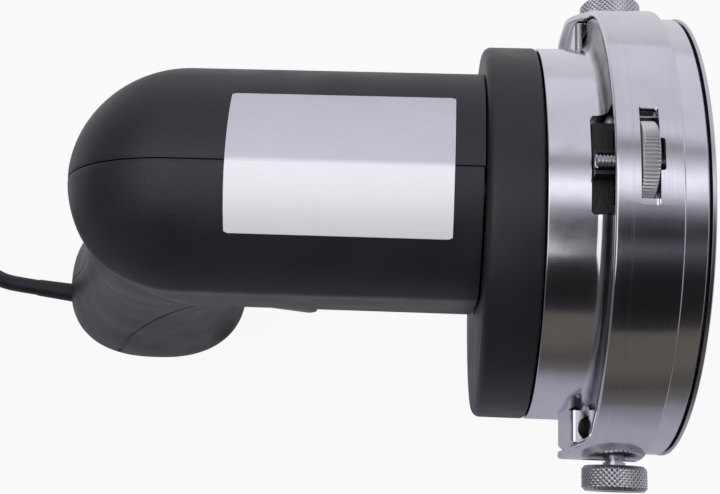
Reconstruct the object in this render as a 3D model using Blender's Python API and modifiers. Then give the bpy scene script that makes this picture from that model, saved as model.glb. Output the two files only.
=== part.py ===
"""Electric kebab slicer: a pistol grip motor unit that drives a round blade.

The frame stands on the flat butt of the grip. +X points from the grip to the
blade, +Y to the tool's left and +Z up. Lengths are metres. A depth is measured
backwards from the plane of the blade's rim.
"""
import math

import bmesh
import bpy
from mathutils import Matrix, Vector

# Where the head and the grip lie.
BUTT_TO_BLADE = 0.1409
HEAD_HEIGHT = 0.108
HEAD_OFFSET = 0.0045
CLEARANCE = 0.0003
RUNNING_GAP = 0.0004
BITE = 0.001
WELD = 0.000001

# Blade and what carries it.
BLADE_RADIUS = 0.050
BLADE_THICKNESS = 0.0009
BLADE_BEVEL = 0.0025
HUB_RADIUS = 0.014
HUB_THICKNESS = 0.0032
NUT_RADIUS = 0.008
NUT_THICKNESS = 0.0045
NUT_SIDES = 6
SHAFT_RADIUS = 0.004
BEARING_RADIUS = 0.0077
BEARING_WIDTH = 0.0034

# Gear head casting.
RIM_WIDTH = 0.0025
RIM_CHAMFER = 0.0004
RECESS_DEPTH = 0.0037
WEB_THICKNESS = 0.004
DRUM_LENGTH = 0.018
NECK_STEP = 0.007
NECK_WALL = 0.0034
NECK_FILLET = 0.0015
HEAD_LENGTH = 0.0299
BOSS_RADIUS = 0.0036
HEAD_SCREW_INSET = 0.0039
PLATE_THICKNESS = 0.0037
EAR_LENGTH = 0.0034
EAR_HALF_HEIGHT = 0.011
EAR_WALL = 0.0017
EAR_POCKET = 0.005
POCKET_OVERRUN = 0.004

# Gears.
GEAR_SETBACK = 0.005
GEAR_WIDTH = 0.006
GEAR_TEETH = 46
PINION_TEETH = 14
MOTOR_RISE = 0.018
TOOTH_HEIGHT_SHARE = 0.5
TOOTH_ROOT_SHARE = 0.32
TOOTH_TIP_SHARE = 0.12

# Guard band with its adjuster.
BAND_GAP = 0.0004
BAND_THICKNESS = 0.0015
BAND_SETBACK = 0.0062
BAND_WIDTH = 0.0132
TAB_LENGTH = 0.0038
TAB_ANGLE = math.radians(7.0)
TAB_BLEND_ANGLE = math.radians(14.0)
GUARD_OUT = 0.0048
GUARD_IN = 0.0032
WHEEL_THICKNESS = 0.0031
WHEEL_PROUD = 0.0022
WHEEL_RIDGES = 30
RIDGE_HEIGHT = 0.0005
ROD_RADIUS = 0.0015
WELL_HALF_WIDTH = 0.00985
WELL_WALL = 0.0016
WELL_SPARE = 0.0128
ADJUSTER_OFFSET = 0.0013
SLOT_HALF_WIDTH = 0.0104
BLOCK_LENGTH = 0.0045
BLOCK_SINK = 0.0014
SCREW_FORWARD = 0.0013
SCREW_SHANK = 0.002
KNOB_RADIUS = 0.00725
KNOB_LENGTH = 0.0055
KNOB_NECK = 0.0008
KNOB_RIDGES = 30
CLAMP_NUT_SIDE = 0.007
CLAMP_NUT_THICKNESS = 0.0032
NOTCH_SHARE = 0.335

# Housing.
WALL = 0.0025
COLLAR_LENGTH = 0.0117
COLLAR_ROUND = 0.0015
FLANGE_INSET = 0.0119
BODY_HALF_WIDTH = 0.0255
BODY_TAPER = 0.002
BODY_CREASE_DROP = 0.0177
BODY_BELOW_AXIS = 0.012
BODY_CORNER = 0.009
BODY_LENGTH = 0.0647
BODY_END_LENGTH = 0.027
BODY_END_SHARE = 0.998
SEAM_STEP_SHARE = 0.25
GRIP_LEAN = 0.028
GRIP_HALF_LENGTH = 0.0285
GRIP_HALF_WIDTH = 0.023
GRIP_POWER = 2.4
# Height, lean, half length and half width of the grip, from the top down.
GRIP_SHARES = (
    (1.13, 1.00, 0.78, 0.85),
    (1.00, 1.00, 0.80, 0.89),
    (0.815, 0.79, 0.79, 0.85),
    (0.583, 0.48, 0.754, 0.80),
    (0.352, 0.23, 0.825, 0.87),
    (0.167, 0.054, 0.965, 0.98),
    (0.056, 0.0, 1.0, 1.0),
    (0.0, 0.0, 0.877, 0.85),
)
GRIP_HOLLOW_SHARE = 0.92

# Rating plate, left blank.
PLATE_LENGTH = 0.0467
PLATE_HALF_WIDTH = 0.0150
PLATE_OFFSET = 0.0007
PLATE_SETBACK = 0.0064
RATING_PLATE_THICKNESS = 0.0004

# Motor.
FIELD_SIDE_GAP = 0.0027
FIELD_THICKNESS = 0.0067
FIELD_LENGTH = 0.030
ARMATURE_GAP = 0.0006
ROTOR_SHAFT_RADIUS = 0.0025
FAN_INSET = 0.0018
FAN_WIDTH = 0.006
FAN_BLADES = 11
FAN_HUB_SHARE = 0.5
FAN_ROOT_SHARE = 0.2
FAN_TIP_SHARE = 0.12
FAN_SETBACK = 0.0037
FIELD_SETBACK = 0.006
COMMUTATOR_RADIUS = 0.008
COMMUTATOR_LENGTH = 0.009
COMMUTATOR_SETBACK = 0.006
BRUSH_SIDE = 0.005
BRUSH_LENGTH = 0.0046
MOTOR_BEARING_RADIUS = 0.0055
MOTOR_BEARING_WIDTH = 0.0036
RIB = 0.002

# Trigger, spring and switch.
TRIGGER_TOP_SHARE = 0.85
TRIGGER_BOTTOM_SHARE = 0.335
TRIGGER_HALF_WIDTH = 0.0125
TRIGGER_TRAVEL = 0.005
TRIGGER_REAR_DEPTH = 0.006
# Height, from the trigger's top down, and reach in front of the grip.
TRIGGER_FACE_SHARES = (
    (0.0, 0.05),
    (0.08, 0.35),
    (0.28, 0.42),
    (0.50, 0.50),
    (0.68, 0.62),
    (0.80, 0.85),
    (0.90, 1.0),
    (0.96, 0.98),
    (1.0, 0.92),
)
TRIGGER_REACH = 0.0245
TRIGGER_MIDDLE_SHARE = 0.5
SPRING_PLACE_SHARE = 0.55
SPRING_RADIUS = 0.0032
SPRING_WIRE = 0.0004
SPRING_LENGTH = 0.0095
SPRING_TURNS = 5
SPRING_POINTS = 10
SWITCH_DEPTH = 0.015
SWITCH_HALF_WIDTH = 0.009
SWITCH_HEIGHT = 0.032

# Screws of the housing halves.
SCREW_RADIUS = 0.0015
SCREW_HEAD_RADIUS = 0.003
SCREW_HEAD_HEIGHT = 0.0024
SCREW_HOLE_DEPTH = 0.012
HOUSING_SCREW_INSET = 0.0042
BEHIND_SCREW_SHARE = 0.86
HEEL_REAR_SCREW_SHARE = 0.19
HEEL_FRONT_SCREW_SHARE = 0.15
HEAD_SCREW_BITE = 0.006
TONGUE_HALF_LENGTH = 0.008
TONGUE_REACH = 0.005

# Cord.
CORD_RADIUS = 0.0025
EXIT_SHARE = 0.12
EXIT_OFFSET = 0.0042
RELIEF_LENGTH = 0.010
RELIEF_RADIUS = 0.0048
RELIEF_TIP_RADIUS = 0.0036
RELIEF_FLANGE_RADIUS = 0.0057
RELIEF_TAIL = 0.012
RELIEF_SETBACK = 0.0036
CLAMP_LENGTH = 0.005
CLAMP_RADIUS = 0.005
COIL_RADIUS = 0.044
COIL_PITCH = 0.0056
COIL_LAYER_RISE = 0.0056
COIL_LOOPS_DOWN = 4.5
COIL_LOOPS_UP = 4.0
COIL_POINTS = 24
STRETCH_POINTS = 12
PLUG_LENGTH = 0.036
PLUG_HALF_WIDTH = 0.0125
PLUG_POWER = 0.7
PLUG_HEIGHT_SHARE = 0.55
# Distance along the plug and its width there.
PLUG_SHARES = (
    (0.0, 0.42),
    (0.25, 0.50),
    (0.50, 0.95),
    (0.62, 1.0),
    (1.0, 1.0),
)
PIN_RADIUS = 0.002
PIN_LENGTH = 0.019
PIN_SPACING = 0.019
# The route that the cord takes over the floor: X, Y and height of its centre.
CORD_ROUTE = (
    (-0.0415, -0.0036, 0.0127),
    (-0.0475, -0.0012, 0.0113),
    (-0.0560, 0.0018, 0.0080),
    (-0.0640, 0.0030, 0.0048),
    (-0.0740, 0.0031, 0.0031),
    (-0.0850, 0.0030, 0.0028),
    (-0.0980, 0.0030, 0.0028),
)
COIL_START_X = -0.115

# Fineness of round shapes.
WIDE_STEPS = 48
MID_STEPS = 24
FINE_STEPS = 12
GRIP_RINGS = 9
TOP_STEPS = 8
CORNER_STEPS = 4
END_RINGS = 7
ROUND_STEPS = 4
FILLET_STEPS = 3
EAR_STEPS = 8
PLATE_STEPS = 14

# Sizes that follow from those above.
HEAD_RADIUS = BLADE_RADIUS - CLEARANCE / 3
RIM_DEPTH = BLADE_THICKNESS + RUNNING_GAP
RECESS_RADIUS = HEAD_RADIUS - RIM_CHAMFER - RIM_WIDTH
WEB_FRONT = RIM_DEPTH + RECESS_DEPTH
WEB_REAR = WEB_FRONT + WEB_THICKNESS
DRUM_REAR = RIM_DEPTH + DRUM_LENGTH
NECK_RADIUS = HEAD_RADIUS - NECK_STEP
NECK_BORE = NECK_RADIUS - NECK_WALL
HEAD_SCREW_CIRCLE = NECK_BORE - HEAD_SCREW_INSET
HEAD_REAR = RIM_DEPTH + HEAD_LENGTH
PLATE_REAR = HEAD_REAR - CLEARANCE / 3
PLATE_FRONT = PLATE_REAR - PLATE_THICKNESS
GEAR_FRONT = WEB_REAR + GEAR_SETBACK
GEAR_REAR = GEAR_FRONT + GEAR_WIDTH
BAND_INNER = HEAD_RADIUS + BAND_GAP
BAND_OUTER = BAND_INNER + BAND_THICKNESS
BAND_REAR = BAND_SETBACK + BAND_WIDTH
WHEEL_DEPTH = BAND_SETBACK + BAND_WIDTH / 2
SCREW_DEPTH = WHEEL_DEPTH - SCREW_FORWARD
# The wheel fills the room between the pinion and the band.
GEAR_DISTANCE = math.hypot(HEAD_OFFSET, MOTOR_RISE)
TOOTH_MODULE = 2 * GEAR_DISTANCE / (GEAR_TEETH + PINION_TEETH)
PINION_TIP_RADIUS = TOOTH_MODULE * (PINION_TEETH / 2 + TOOTH_HEIGHT_SHARE)
WELL_FLOOR = MOTOR_RISE + PINION_TIP_RADIUS + WELL_SPARE + WELL_WALL
WHEEL_TOP = math.sqrt(BAND_OUTER ** 2 - (HEAD_OFFSET - ADJUSTER_OFFSET) ** 2) + WHEEL_PROUD
WHEEL_RADIUS = (WHEEL_TOP - WELL_FLOOR - CLEARANCE - RUNNING_GAP) / 2
ROD_RISE = WHEEL_TOP - WHEEL_RADIUS
WHEEL_FRONT_STOP = WHEEL_DEPTH - GUARD_OUT - WHEEL_THICKNESS / 2
WHEEL_REAR_STOP = WHEEL_DEPTH + GUARD_IN + WHEEL_THICKNESS / 2
WELL_FRONT = WHEEL_FRONT_STOP - CLEARANCE
BLOCK_FRONT = WHEEL_REAR_STOP + CLEARANCE
BLOCK_REAR = BLOCK_FRONT + BLOCK_LENGTH
ROD_FRONT = WELL_FRONT - WELL_WALL + CLEARANCE
COLLAR_FRONT = HEAD_REAR + CLEARANCE
COLLAR_REAR = COLLAR_FRONT + COLLAR_LENGTH
COLLAR_RADIUS = NECK_RADIUS
BODY_REAR_START = COLLAR_REAR + BODY_LENGTH
BODY_REAR = BODY_REAR_START + BODY_END_LENGTH
FIELD_RADIUS = BODY_HALF_WIDTH - WALL - FIELD_SIDE_GAP
FIELD_BORE = FIELD_RADIUS - FIELD_THICKNESS
FAN_RADIUS = FIELD_RADIUS - FAN_INSET
BODY_TOP = MOTOR_RISE + FIELD_RADIUS + 2 * CLEARANCE + WALL
BODY_ARC_RADIUS = (BODY_HALF_WIDTH ** 2 + BODY_CREASE_DROP ** 2) / (2 * BODY_CREASE_DROP)
BODY_ARC_ANGLE = math.asin(BODY_HALF_WIDTH / BODY_ARC_RADIUS)
BODY_ARC_RISE = BODY_TOP - BODY_ARC_RADIUS
EXIT_HEIGHT = EXIT_SHARE * HEAD_HEIGHT
FAN_FRONT = COLLAR_REAR + FAN_SETBACK
FIELD_FRONT = FAN_FRONT + FAN_WIDTH + FIELD_SETBACK
FIELD_REAR = FIELD_FRONT + FIELD_LENGTH
COMMUTATOR_FRONT = FIELD_REAR + COMMUTATOR_SETBACK
COMMUTATOR_REAR = COMMUTATOR_FRONT + COMMUTATOR_LENGTH
REAR_RIB = COMMUTATOR_REAR + COMMUTATOR_SETBACK
REAR_BEARING_FRONT = REAR_RIB
REAR_BEARING_REAR = REAR_BEARING_FRONT + MOTOR_BEARING_WIDTH

PARTS = None
CUTTERS = None
MATERIALS = {}


def clear_scene():
    """Empty the file and make the two collections."""
    global PARTS, CUTTERS
    for item in list(bpy.data.objects):
        bpy.data.objects.remove(item, do_unlink=True)
    PARTS = bpy.data.collections.new("electric_kebab_slicer")
    CUTTERS = bpy.data.collections.new("cutters")
    bpy.context.scene.collection.children.link(PARTS)
    bpy.context.scene.collection.children.link(CUTTERS)


def material(name, color, roughness, metallic=0.0):
    """A Principled material, made once under each name."""
    made = bpy.data.materials.new(name)
    made.use_nodes = True
    shader = made.node_tree.nodes["Principled BSDF"]
    shader.inputs["Base Color"].default_value = (*color, 1.0)
    shader.inputs["Roughness"].default_value = roughness
    shader.inputs["Metallic"].default_value = metallic
    MATERIALS[name] = made


def make_materials():
    """The colours and finishes in the photograph."""
    material("black_plastic", (0.025, 0.025, 0.032), 0.55)
    material("trigger_plastic", (0.015, 0.015, 0.018), 0.45)
    material("black_rubber", (0.008, 0.009, 0.014), 0.7)
    material("polished_aluminium", (0.80, 0.80, 0.84), 0.15, 1.0)
    material("stainless_band", (0.72, 0.72, 0.76), 0.18, 1.0)
    material("blade_steel", (0.65, 0.66, 0.70), 0.22, 1.0)
    material("plated_steel", (0.60, 0.60, 0.64), 0.30, 1.0)
    material("silver_label", (0.52, 0.51, 0.58), 0.45, 0.3)
    material("core_steel", (0.25, 0.25, 0.27), 0.5, 1.0)
    material("copper", (0.70, 0.35, 0.20), 0.35, 1.0)
    material("brass", (0.72, 0.56, 0.26), 0.30, 1.0)
    material("white_nylon", (0.75, 0.74, 0.70), 0.5)
    material("carbon", (0.03, 0.03, 0.03), 0.8)


def world_x(depth):
    """The X of a plane at this depth behind the blade's rim."""
    return BUTT_TO_BLADE - depth


def head_point(depth, y=0.0, rise=0.0):
    """A point given from the head's axis."""
    return Vector((world_x(depth), y - HEAD_OFFSET, HEAD_HEIGHT + rise))


def mid_point(depth, y=0.0, rise=0.0):
    """A point given from the seam plane at the head's height."""
    return Vector((world_x(depth), y, HEAD_HEIGHT + rise))


def adjuster_point(depth, y=0.0, rise=0.0):
    """A point given from the plane of the adjuster, which stands a little to the right of the seam."""
    return mid_point(depth, y - ADJUSTER_OFFSET, rise)


FORWARD = Matrix.Rotation(math.pi / 2, 4, "Y")
LEFTWARD = Matrix.Rotation(-math.pi / 2, 4, "X")
RIGHTWARD = Matrix.Rotation(math.pi / 2, 4, "X")


def add_object(name, data, place, turn=None, finish=None):
    """Link an object, as a part if it has a finish and as a cutter if not."""
    made = bpy.data.objects.new(name, data)
    made.matrix_world = Matrix.Translation(place) @ (turn if turn else Matrix.Identity(4))
    if finish:
        data.materials.append(MATERIALS[finish])
        PARTS.objects.link(made)
    else:
        CUTTERS.objects.link(made)
        made.hide_render = True
        made.display_type = "WIRE"
    return made


def mesh_from(name, bm, smooth_angle=None):
    """Turn a bmesh into mesh data with its faces pointing out."""
    bmesh.ops.recalc_face_normals(bm, faces=bm.faces)
    data = bpy.data.meshes.new(name)
    bm.to_mesh(data)
    bm.free()
    if smooth_angle:
        data.shade_smooth()
        data.set_sharp_from_angle(angle=smooth_angle)
    return data


def box(name, low, high, finish=None):
    """A box between two corners."""
    low = Vector(low)
    high = Vector(high)
    bm = bmesh.new()
    bmesh.ops.create_cube(bm, size=1.0)
    bmesh.ops.scale(bm, vec=high - low, verts=bm.verts)
    return add_object(name, mesh_from(name, bm), (low + high) / 2, None, finish)


def turned(name, profile, place, turn, steps, finish=None):
    """A turned shape: (depth, radius) points down its outer side and back inside."""
    data = bpy.data.meshes.new(name)
    points = [(radius, 0.0, -depth) for depth, radius in profile]
    edges = [(i, i + 1) for i in range(len(points) - 1)]
    if profile[0][1] > 0.0 or profile[-1][1] > 0.0:
        edges.append((len(points) - 1, 0))
    data.from_pydata(points, edges, [])
    made = add_object(name, data, place, turn, finish)
    spin = made.modifiers.new("turn", "SCREW")
    spin.axis = "Z"
    spin.steps = steps
    spin.render_steps = steps
    spin.use_merge_vertices = True
    spin.merge_threshold = WELD
    spin.use_smooth_shade = True
    return made


def rod(name, start, length, radius, place, turn, steps, finish=None):
    """A plain cylinder along the turned axis."""
    profile = [(start, 0.0), (start, radius), (start + length, radius), (start + length, 0.0)]
    return turned(name, profile, place, turn, steps, finish)


def ring(name, start, length, radius, bore, place, turn, steps, finish=None):
    """A plain ring round the turned axis."""
    end = start + length
    profile = [(start, bore), (start, radius), (end, radius), (end, bore)]
    return turned(name, profile, place, turn, steps, finish)


def outline_solid(name, loops, thickness, place, turn, finish=None):
    """A flat outline, with holes, given a thickness centred on its plane."""
    curve = bpy.data.curves.new(name, "CURVE")
    curve.dimensions = "2D"
    curve.fill_mode = "BOTH"
    curve.extrude = thickness / 2
    for loop in loops:
        spline = curve.splines.new("POLY")
        spline.points.add(len(loop) - 1)
        for point, (x, y) in zip(spline.points, loop):
            point.co = (x, y, 0.0, 1.0)
        spline.use_cyclic_u = True
    return as_mesh(add_object(name, curve, place, turn, finish))


def as_mesh(item):
    """The same object as a welded mesh, so that it can be cut."""
    graph = bpy.context.evaluated_depsgraph_get()
    data = bpy.data.meshes.new_from_object(item.evaluated_get(graph))
    bm = bmesh.new()
    bm.from_mesh(data)
    bmesh.ops.remove_doubles(bm, verts=bm.verts, dist=WELD)
    bmesh.ops.recalc_face_normals(bm, faces=bm.faces)
    bm.to_mesh(data)
    bm.free()
    name = item.name
    place = item.matrix_world.copy()
    home = item.users_collection[0]
    finish = item.data.materials[0] if item.data.materials else None
    bpy.data.objects.remove(item, do_unlink=True)
    made = bpy.data.objects.new(name, data)
    made.matrix_world = place
    home.objects.link(made)
    if finish and not data.materials:
        data.materials.append(finish)
    if home is CUTTERS:
        made.hide_render = True
        made.display_type = "WIRE"
    return made


def tube(name, points, radius, resolution, finish):
    """A round tube through points, with flat ends."""
    curve = bpy.data.curves.new(name, "CURVE")
    curve.dimensions = "3D"
    curve.bevel_depth = radius
    curve.bevel_resolution = resolution
    curve.use_fill_caps = True
    spline = curve.splines.new("POLY")
    spline.points.add(len(points) - 1)
    for target, point in zip(spline.points, points):
        target.co = (*point, 1.0)
    return add_object(name, curve, Vector(), None, finish)


def combine(target, tool, operation="DIFFERENCE"):
    """Cut the target with a tool, or join the tool to it."""
    step = target.modifiers.new(tool.name, "BOOLEAN")
    step.object = tool
    step.operation = operation
    step.solver = "EXACT"


def circle(radius, steps):
    """Points round a circle."""
    angles = [2 * math.pi * i / steps for i in range(steps)]
    return [(radius * math.cos(angle), radius * math.sin(angle)) for angle in angles]


def toothed(teeth, root, tip, root_share, tip_share, phase):
    """Points round a toothed outline, one tooth centred on the phase angle."""
    points = []
    step = 2 * math.pi / teeth
    for i in range(teeth):
        middle = phase + i * step
        for share, radius in ((-root_share, root), (-tip_share, tip), (tip_share, tip), (root_share, root)):
            angle = middle + share * step
            points.append((radius * math.cos(angle), radius * math.sin(angle)))
    return points


def ridged(ridges, root, tip):
    """Points round an outline of plain ridges."""
    count = 2 * ridges
    points = []
    for i in range(count):
        radius = root if i % 2 else tip
        angle = 2 * math.pi * i / count
        points.append((radius * math.cos(angle), radius * math.sin(angle)))
    return points


def loft(name, rings, finish=None):
    """Skin a stack of closed rings and cap its ends."""
    bm = bmesh.new()
    rows = [[bm.verts.new(point) for point in one] for one in rings]
    count = len(rows[0])
    for near, far in zip(rows, rows[1:]):
        for i in range(count):
            j = (i + 1) % count
            bm.faces.new((near[i], near[j], far[j], far[i]))
    bm.faces.new(rows[0])
    bm.faces.new(rows[-1])
    return add_object(name, mesh_from(name, bm, math.radians(30.0)), Vector(), None, finish)


def follow_curve(rows, share):
    """A smooth value between rows of numbers, at a share of the way along."""
    last = len(rows) - 1
    along = min(max(share, 0.0), 1.0) * last
    i = min(int(along), last - 1)
    t = along - i
    a, b, c, d = (rows[min(max(k, 0), last)] for k in (i - 1, i, i + 1, i + 2))
    result = []
    for p, q, r, s in zip(a, b, c, d):
        curve = 2 * q + (r - p) * t + (2 * p - 5 * q + 4 * r - s) * t * t + (3 * q - p - 3 * r + s) * t ** 3
        result.append(curve / 2)
    return result


def grip_station(height_share):
    """Lean, half length and half width shares of the grip at a height share."""
    low = 0.0
    high = 1.0
    for _ in range(30):
        middle = (low + high) / 2
        if follow_curve(GRIP_SHARES, middle)[0] > height_share:
            low = middle
        else:
            high = middle
    return follow_curve(GRIP_SHARES, low)[1:]


def grip_front(height_share):
    """The X of the grip's front at a height share."""
    lean, length, _ = grip_station(height_share)
    return GRIP_LEAN * lean + GRIP_HALF_LENGTH * length


def grip_rear(height_share):
    """The X of the grip's rear at a height share."""
    lean, length, _ = grip_station(height_share)
    return GRIP_LEAN * lean - GRIP_HALF_LENGTH * length


def grip_ring(height_share, inset):
    """One closed ring round the grip."""
    lean, length, width = grip_station(height_share)
    half_length = GRIP_HALF_LENGTH * length - inset
    half_width = GRIP_HALF_WIDTH * width - inset
    points = []
    for i in range(MID_STEPS):
        angle = 2 * math.pi * (i + 0.5) / MID_STEPS
        c = math.cos(angle)
        s = math.sin(angle)
        x = GRIP_LEAN * lean + half_length * math.copysign(abs(c) ** (2 / GRIP_POWER), c)
        y = half_width * math.copysign(abs(s) ** (2 / GRIP_POWER), s)
        points.append((x, y, HEAD_HEIGHT * height_share))
    return points


def body_section(inset):
    """Half widths and rises round the body, from the head's axis."""
    radius = BODY_ARC_RADIUS - inset
    bottom = -BODY_BELOW_AXIS + inset
    wide = BODY_HALF_WIDTH - BODY_TAPER - inset
    corner = BODY_CORNER
    half = []
    for i in range(TOP_STEPS + 1):
        angle = BODY_ARC_ANGLE * (i + SEAM_STEP_SHARE) / (TOP_STEPS + SEAM_STEP_SHARE)
        half.append((radius * math.sin(angle), BODY_ARC_RISE + radius * math.cos(angle)))
    for i in range(CORNER_STEPS + 1):
        angle = math.pi / 2 * i / CORNER_STEPS
        half.append((wide - corner + corner * math.cos(angle), bottom + corner - corner * math.sin(angle)))
    return half + [(-y, rise) for y, rise in reversed(half)]


def body_ring(depth, inset):
    """One closed ring of the body, drawn in towards the motor's height where the rear is rounded."""
    past = max(depth - BODY_REAR_START, 0.0) / (BODY_END_LENGTH - inset)
    scale = math.sqrt(max(1.0 - past * past, 0.0))
    return [(world_x(depth), y * scale, HEAD_HEIGHT + MOTOR_RISE + (rise - MOTOR_RISE) * scale)
            for y, rise in body_section(inset)]


def body_solid(name, front, rear, inset):
    """The body between two depths, rounded off behind if it reaches that far."""
    depths = [front]
    if rear > BODY_REAR_START:
        end = BODY_END_LENGTH - inset
        begin = max(front, BODY_REAR_START)
        first = math.asin((begin - BODY_REAR_START) / end)
        last = math.asin(min((rear - BODY_REAR_START) / end, BODY_END_SHARE))
        if begin > front:
            depths.append(begin)
        for i in range(1, END_RINGS + 1):
            depths.append(BODY_REAR_START + end * math.sin(first + (last - first) * i / END_RINGS))
    else:
        depths.append(rear)
    return loft(name, [body_ring(depth, inset) for depth in depths])


def grip_solid(name, top_share, bottom_share, inset):
    """The grip between two height shares."""
    count = GRIP_RINGS
    drop = bottom_share - top_share
    return loft(name, [grip_ring(top_share + drop * i / count, inset) for i in range(count + 1)])


def housing_screw_places():
    """Depth and rise of the screws that hold the halves together."""
    low = -BODY_BELOW_AXIS + HOUSING_SCREW_INSET
    heel = HEAD_HEIGHT * HEEL_REAR_SCREW_SHARE - HEAD_HEIGHT
    behind = grip_rear(BEHIND_SCREW_SHARE) + WALL + BOSS_RADIUS + BITE
    heel_rear = grip_rear(HEEL_REAR_SCREW_SHARE) + WALL + 2 * BOSS_RADIUS
    heel_front = grip_front(HEEL_FRONT_SCREW_SHARE) - WALL - 2 * BOSS_RADIUS
    return (
        (FIELD_FRONT - FAN_WIDTH, low),
        (FIELD_REAR, low),
        (BUTT_TO_BLADE - behind, HEAD_HEIGHT * BEHIND_SCREW_SHARE - HEAD_HEIGHT),
        (BUTT_TO_BLADE - heel_rear, heel + BOSS_RADIUS),
        (BUTT_TO_BLADE - heel_front, heel),
    )


def head_screw_places():
    """Y and rise of the screws round the head's axis."""
    reach = HEAD_SCREW_CIRCLE / math.sqrt(2)
    return ((reach, reach), (-reach, reach), (-reach, -reach), (reach, -reach))


def make_hollows():
    """The room inside the housing, between the ribs and round the screw bosses."""
    spans = (
        (COLLAR_REAR - WALL - BITE, FIELD_FRONT + RIB),
        (FIELD_FRONT + 2 * RIB, FIELD_REAR - 2 * RIB),
        (FIELD_REAR - RIB, REAR_RIB),
        (REAR_BEARING_REAR, BODY_REAR),
    )
    hollows = []
    for i, (front, rear) in enumerate(spans):
        hollows.append(body_solid(f"body_hollow_{i}", front, rear, WALL))
    hollows.append(grip_solid("grip_hollow", GRIP_HOLLOW_SHARE, WALL / HEAD_HEIGHT, WALL))
    reach = BODY_HALF_WIDTH + BITE
    for i, (depth, rise) in enumerate(housing_screw_places()):
        boss = rod(f"screw_boss_{i}", -reach, 2 * reach, BOSS_RADIUS, mid_point(depth, 0.0, rise), LEFTWARD,
                   FINE_STEPS)
        for hollow in hollows:
            if overlaps(boss_box(depth, rise), hollow):
                combine(hollow, boss)
    place = mid_point(0.0, 0.0, MOTOR_RISE)
    hollows.append(rod("field_bore", FIELD_FRONT - BITE, FIELD_LENGTH + 2 * BITE, FIELD_RADIUS + CLEARANCE,
                       place, FORWARD, MID_STEPS))
    hollows.append(rod("rear_bearing_seat", REAR_BEARING_FRONT - BITE, MOTOR_BEARING_WIDTH + 2 * BITE,
                       MOTOR_BEARING_RADIUS + CLEARANCE, place, FORWARD, FINE_STEPS))
    return hollows


def boss_box(depth, rise):
    """X and Z limits of a screw boss."""
    x = world_x(depth)
    z = HEAD_HEIGHT + rise
    return x - BOSS_RADIUS, x + BOSS_RADIUS, z - BOSS_RADIUS, z + BOSS_RADIUS


def overlaps(limits, item):
    """Whether an object's own box meets these X and Z limits."""
    xs = [vertex.co.x for vertex in item.data.vertices]
    zs = [vertex.co.z for vertex in item.data.vertices]
    return limits[0] < max(xs) and limits[1] > min(xs) and limits[2] < max(zs) and limits[3] > min(zs)


def cut_screw_holes(shell, side):
    """Head recesses on the left, blind holes on the right."""
    hole = SCREW_RADIUS + CLEARANCE
    wide = SCREW_HEAD_RADIUS + CLEARANCE
    seat = SCREW_HOLE_DEPTH
    outside = BODY_HALF_WIDTH + BITE
    if side > 0:
        profile = [(-outside, 0.0), (-outside, wide), (-seat, wide), (-seat, hole), (BITE, hole), (BITE, 0.0)]
    else:
        profile = [(-BITE, 0.0), (-BITE, hole), (seat, hole), (seat, 0.0)]
    for i, (depth, rise) in enumerate(housing_screw_places()):
        tool = turned(f"{shell.name}_hole_{i}", profile, mid_point(depth, 0.0, rise), LEFTWARD, FINE_STEPS)
        combine(shell, tool)


def trigger_slot():
    """The opening in the front of the grip that the trigger slides in."""
    top = HEAD_HEIGHT * TRIGGER_TOP_SHARE + CLEARANCE
    bottom = HEAD_HEIGHT * TRIGGER_BOTTOM_SHARE - CLEARANCE
    back = grip_front(TRIGGER_BOTTOM_SHARE) - TRIGGER_REAR_DEPTH - TRIGGER_TRAVEL - WALL
    side = TRIGGER_HALF_WIDTH + CLEARANCE
    front = grip_front(TRIGGER_TOP_SHARE) + TRIGGER_REACH
    return box("trigger_slot", (back, -side, bottom), (front, side, top))


def heel_tongue(name, spare):
    """The tongue of the right half's floor that crosses the seam under the grip."""
    half = TONGUE_HALF_LENGTH + spare
    return box(name, (-half, -WALL, -spare), (half, TONGUE_REACH + spare, WALL - BITE + spare))


def relief_hole():
    """The round hole in the grip's rear for the strain relief."""
    place = Vector((0.0, -EXIT_OFFSET, EXIT_HEIGHT))
    start = -grip_rear(EXIT_SHARE) - 2 * WALL
    return rod("cord_hole", start, 4 * WALL, RELIEF_RADIUS + CLEARANCE, place, FORWARD, FINE_STEPS)


def housing_half(name, side):
    """One half of the body and grip, open inside."""
    front = COLLAR_REAR + CLEARANCE if side > 0 else COLLAR_REAR - BITE
    shell = body_solid(name, front, BODY_REAR, 0.0)
    CUTTERS.objects.unlink(shell)
    PARTS.objects.link(shell)
    shell.hide_render = False
    shell.display_type = "TEXTURED"
    shell.data.materials.append(MATERIALS["black_plastic"])
    combine(shell, grip_solid(f"{name}_grip", GRIP_SHARES[0][0], 0.0, 0.0), "UNION")
    reach = 2 * BUTT_TO_BLADE
    near = -side * reach
    far = side * CLEARANCE / 2
    other = box(f"{name}_other_side", (-reach, min(near, far), -reach), (reach, max(near, far), reach))
    combine(shell, other)
    return shell


def collar_profile():
    """Section of the round collar that the gear head bolts to, hollow inside."""
    radius = COLLAR_RADIUS
    inner = COLLAR_RADIUS - WALL
    flange = COLLAR_FRONT + WALL
    edge = COLLAR_ROUND
    profile = [(COLLAR_FRONT, COLLAR_RADIUS - FLANGE_INSET), (COLLAR_FRONT, radius - edge / 2),
               (COLLAR_FRONT + edge / 2, radius)]
    for i in range(ROUND_STEPS + 1):
        angle = math.pi / 2 * i / ROUND_STEPS
        profile.append((COLLAR_REAR - edge + edge * math.sin(angle), radius - edge + edge * math.cos(angle)))
    # The rear wall reaches in to a small hole on the axis, which the body's hollow takes away.
    profile += [(COLLAR_REAR, BITE), (COLLAR_REAR - WALL, BITE), (COLLAR_REAR - WALL, inner), (flange, inner),
                (flange, COLLAR_RADIUS - FLANGE_INSET)]
    return profile


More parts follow.
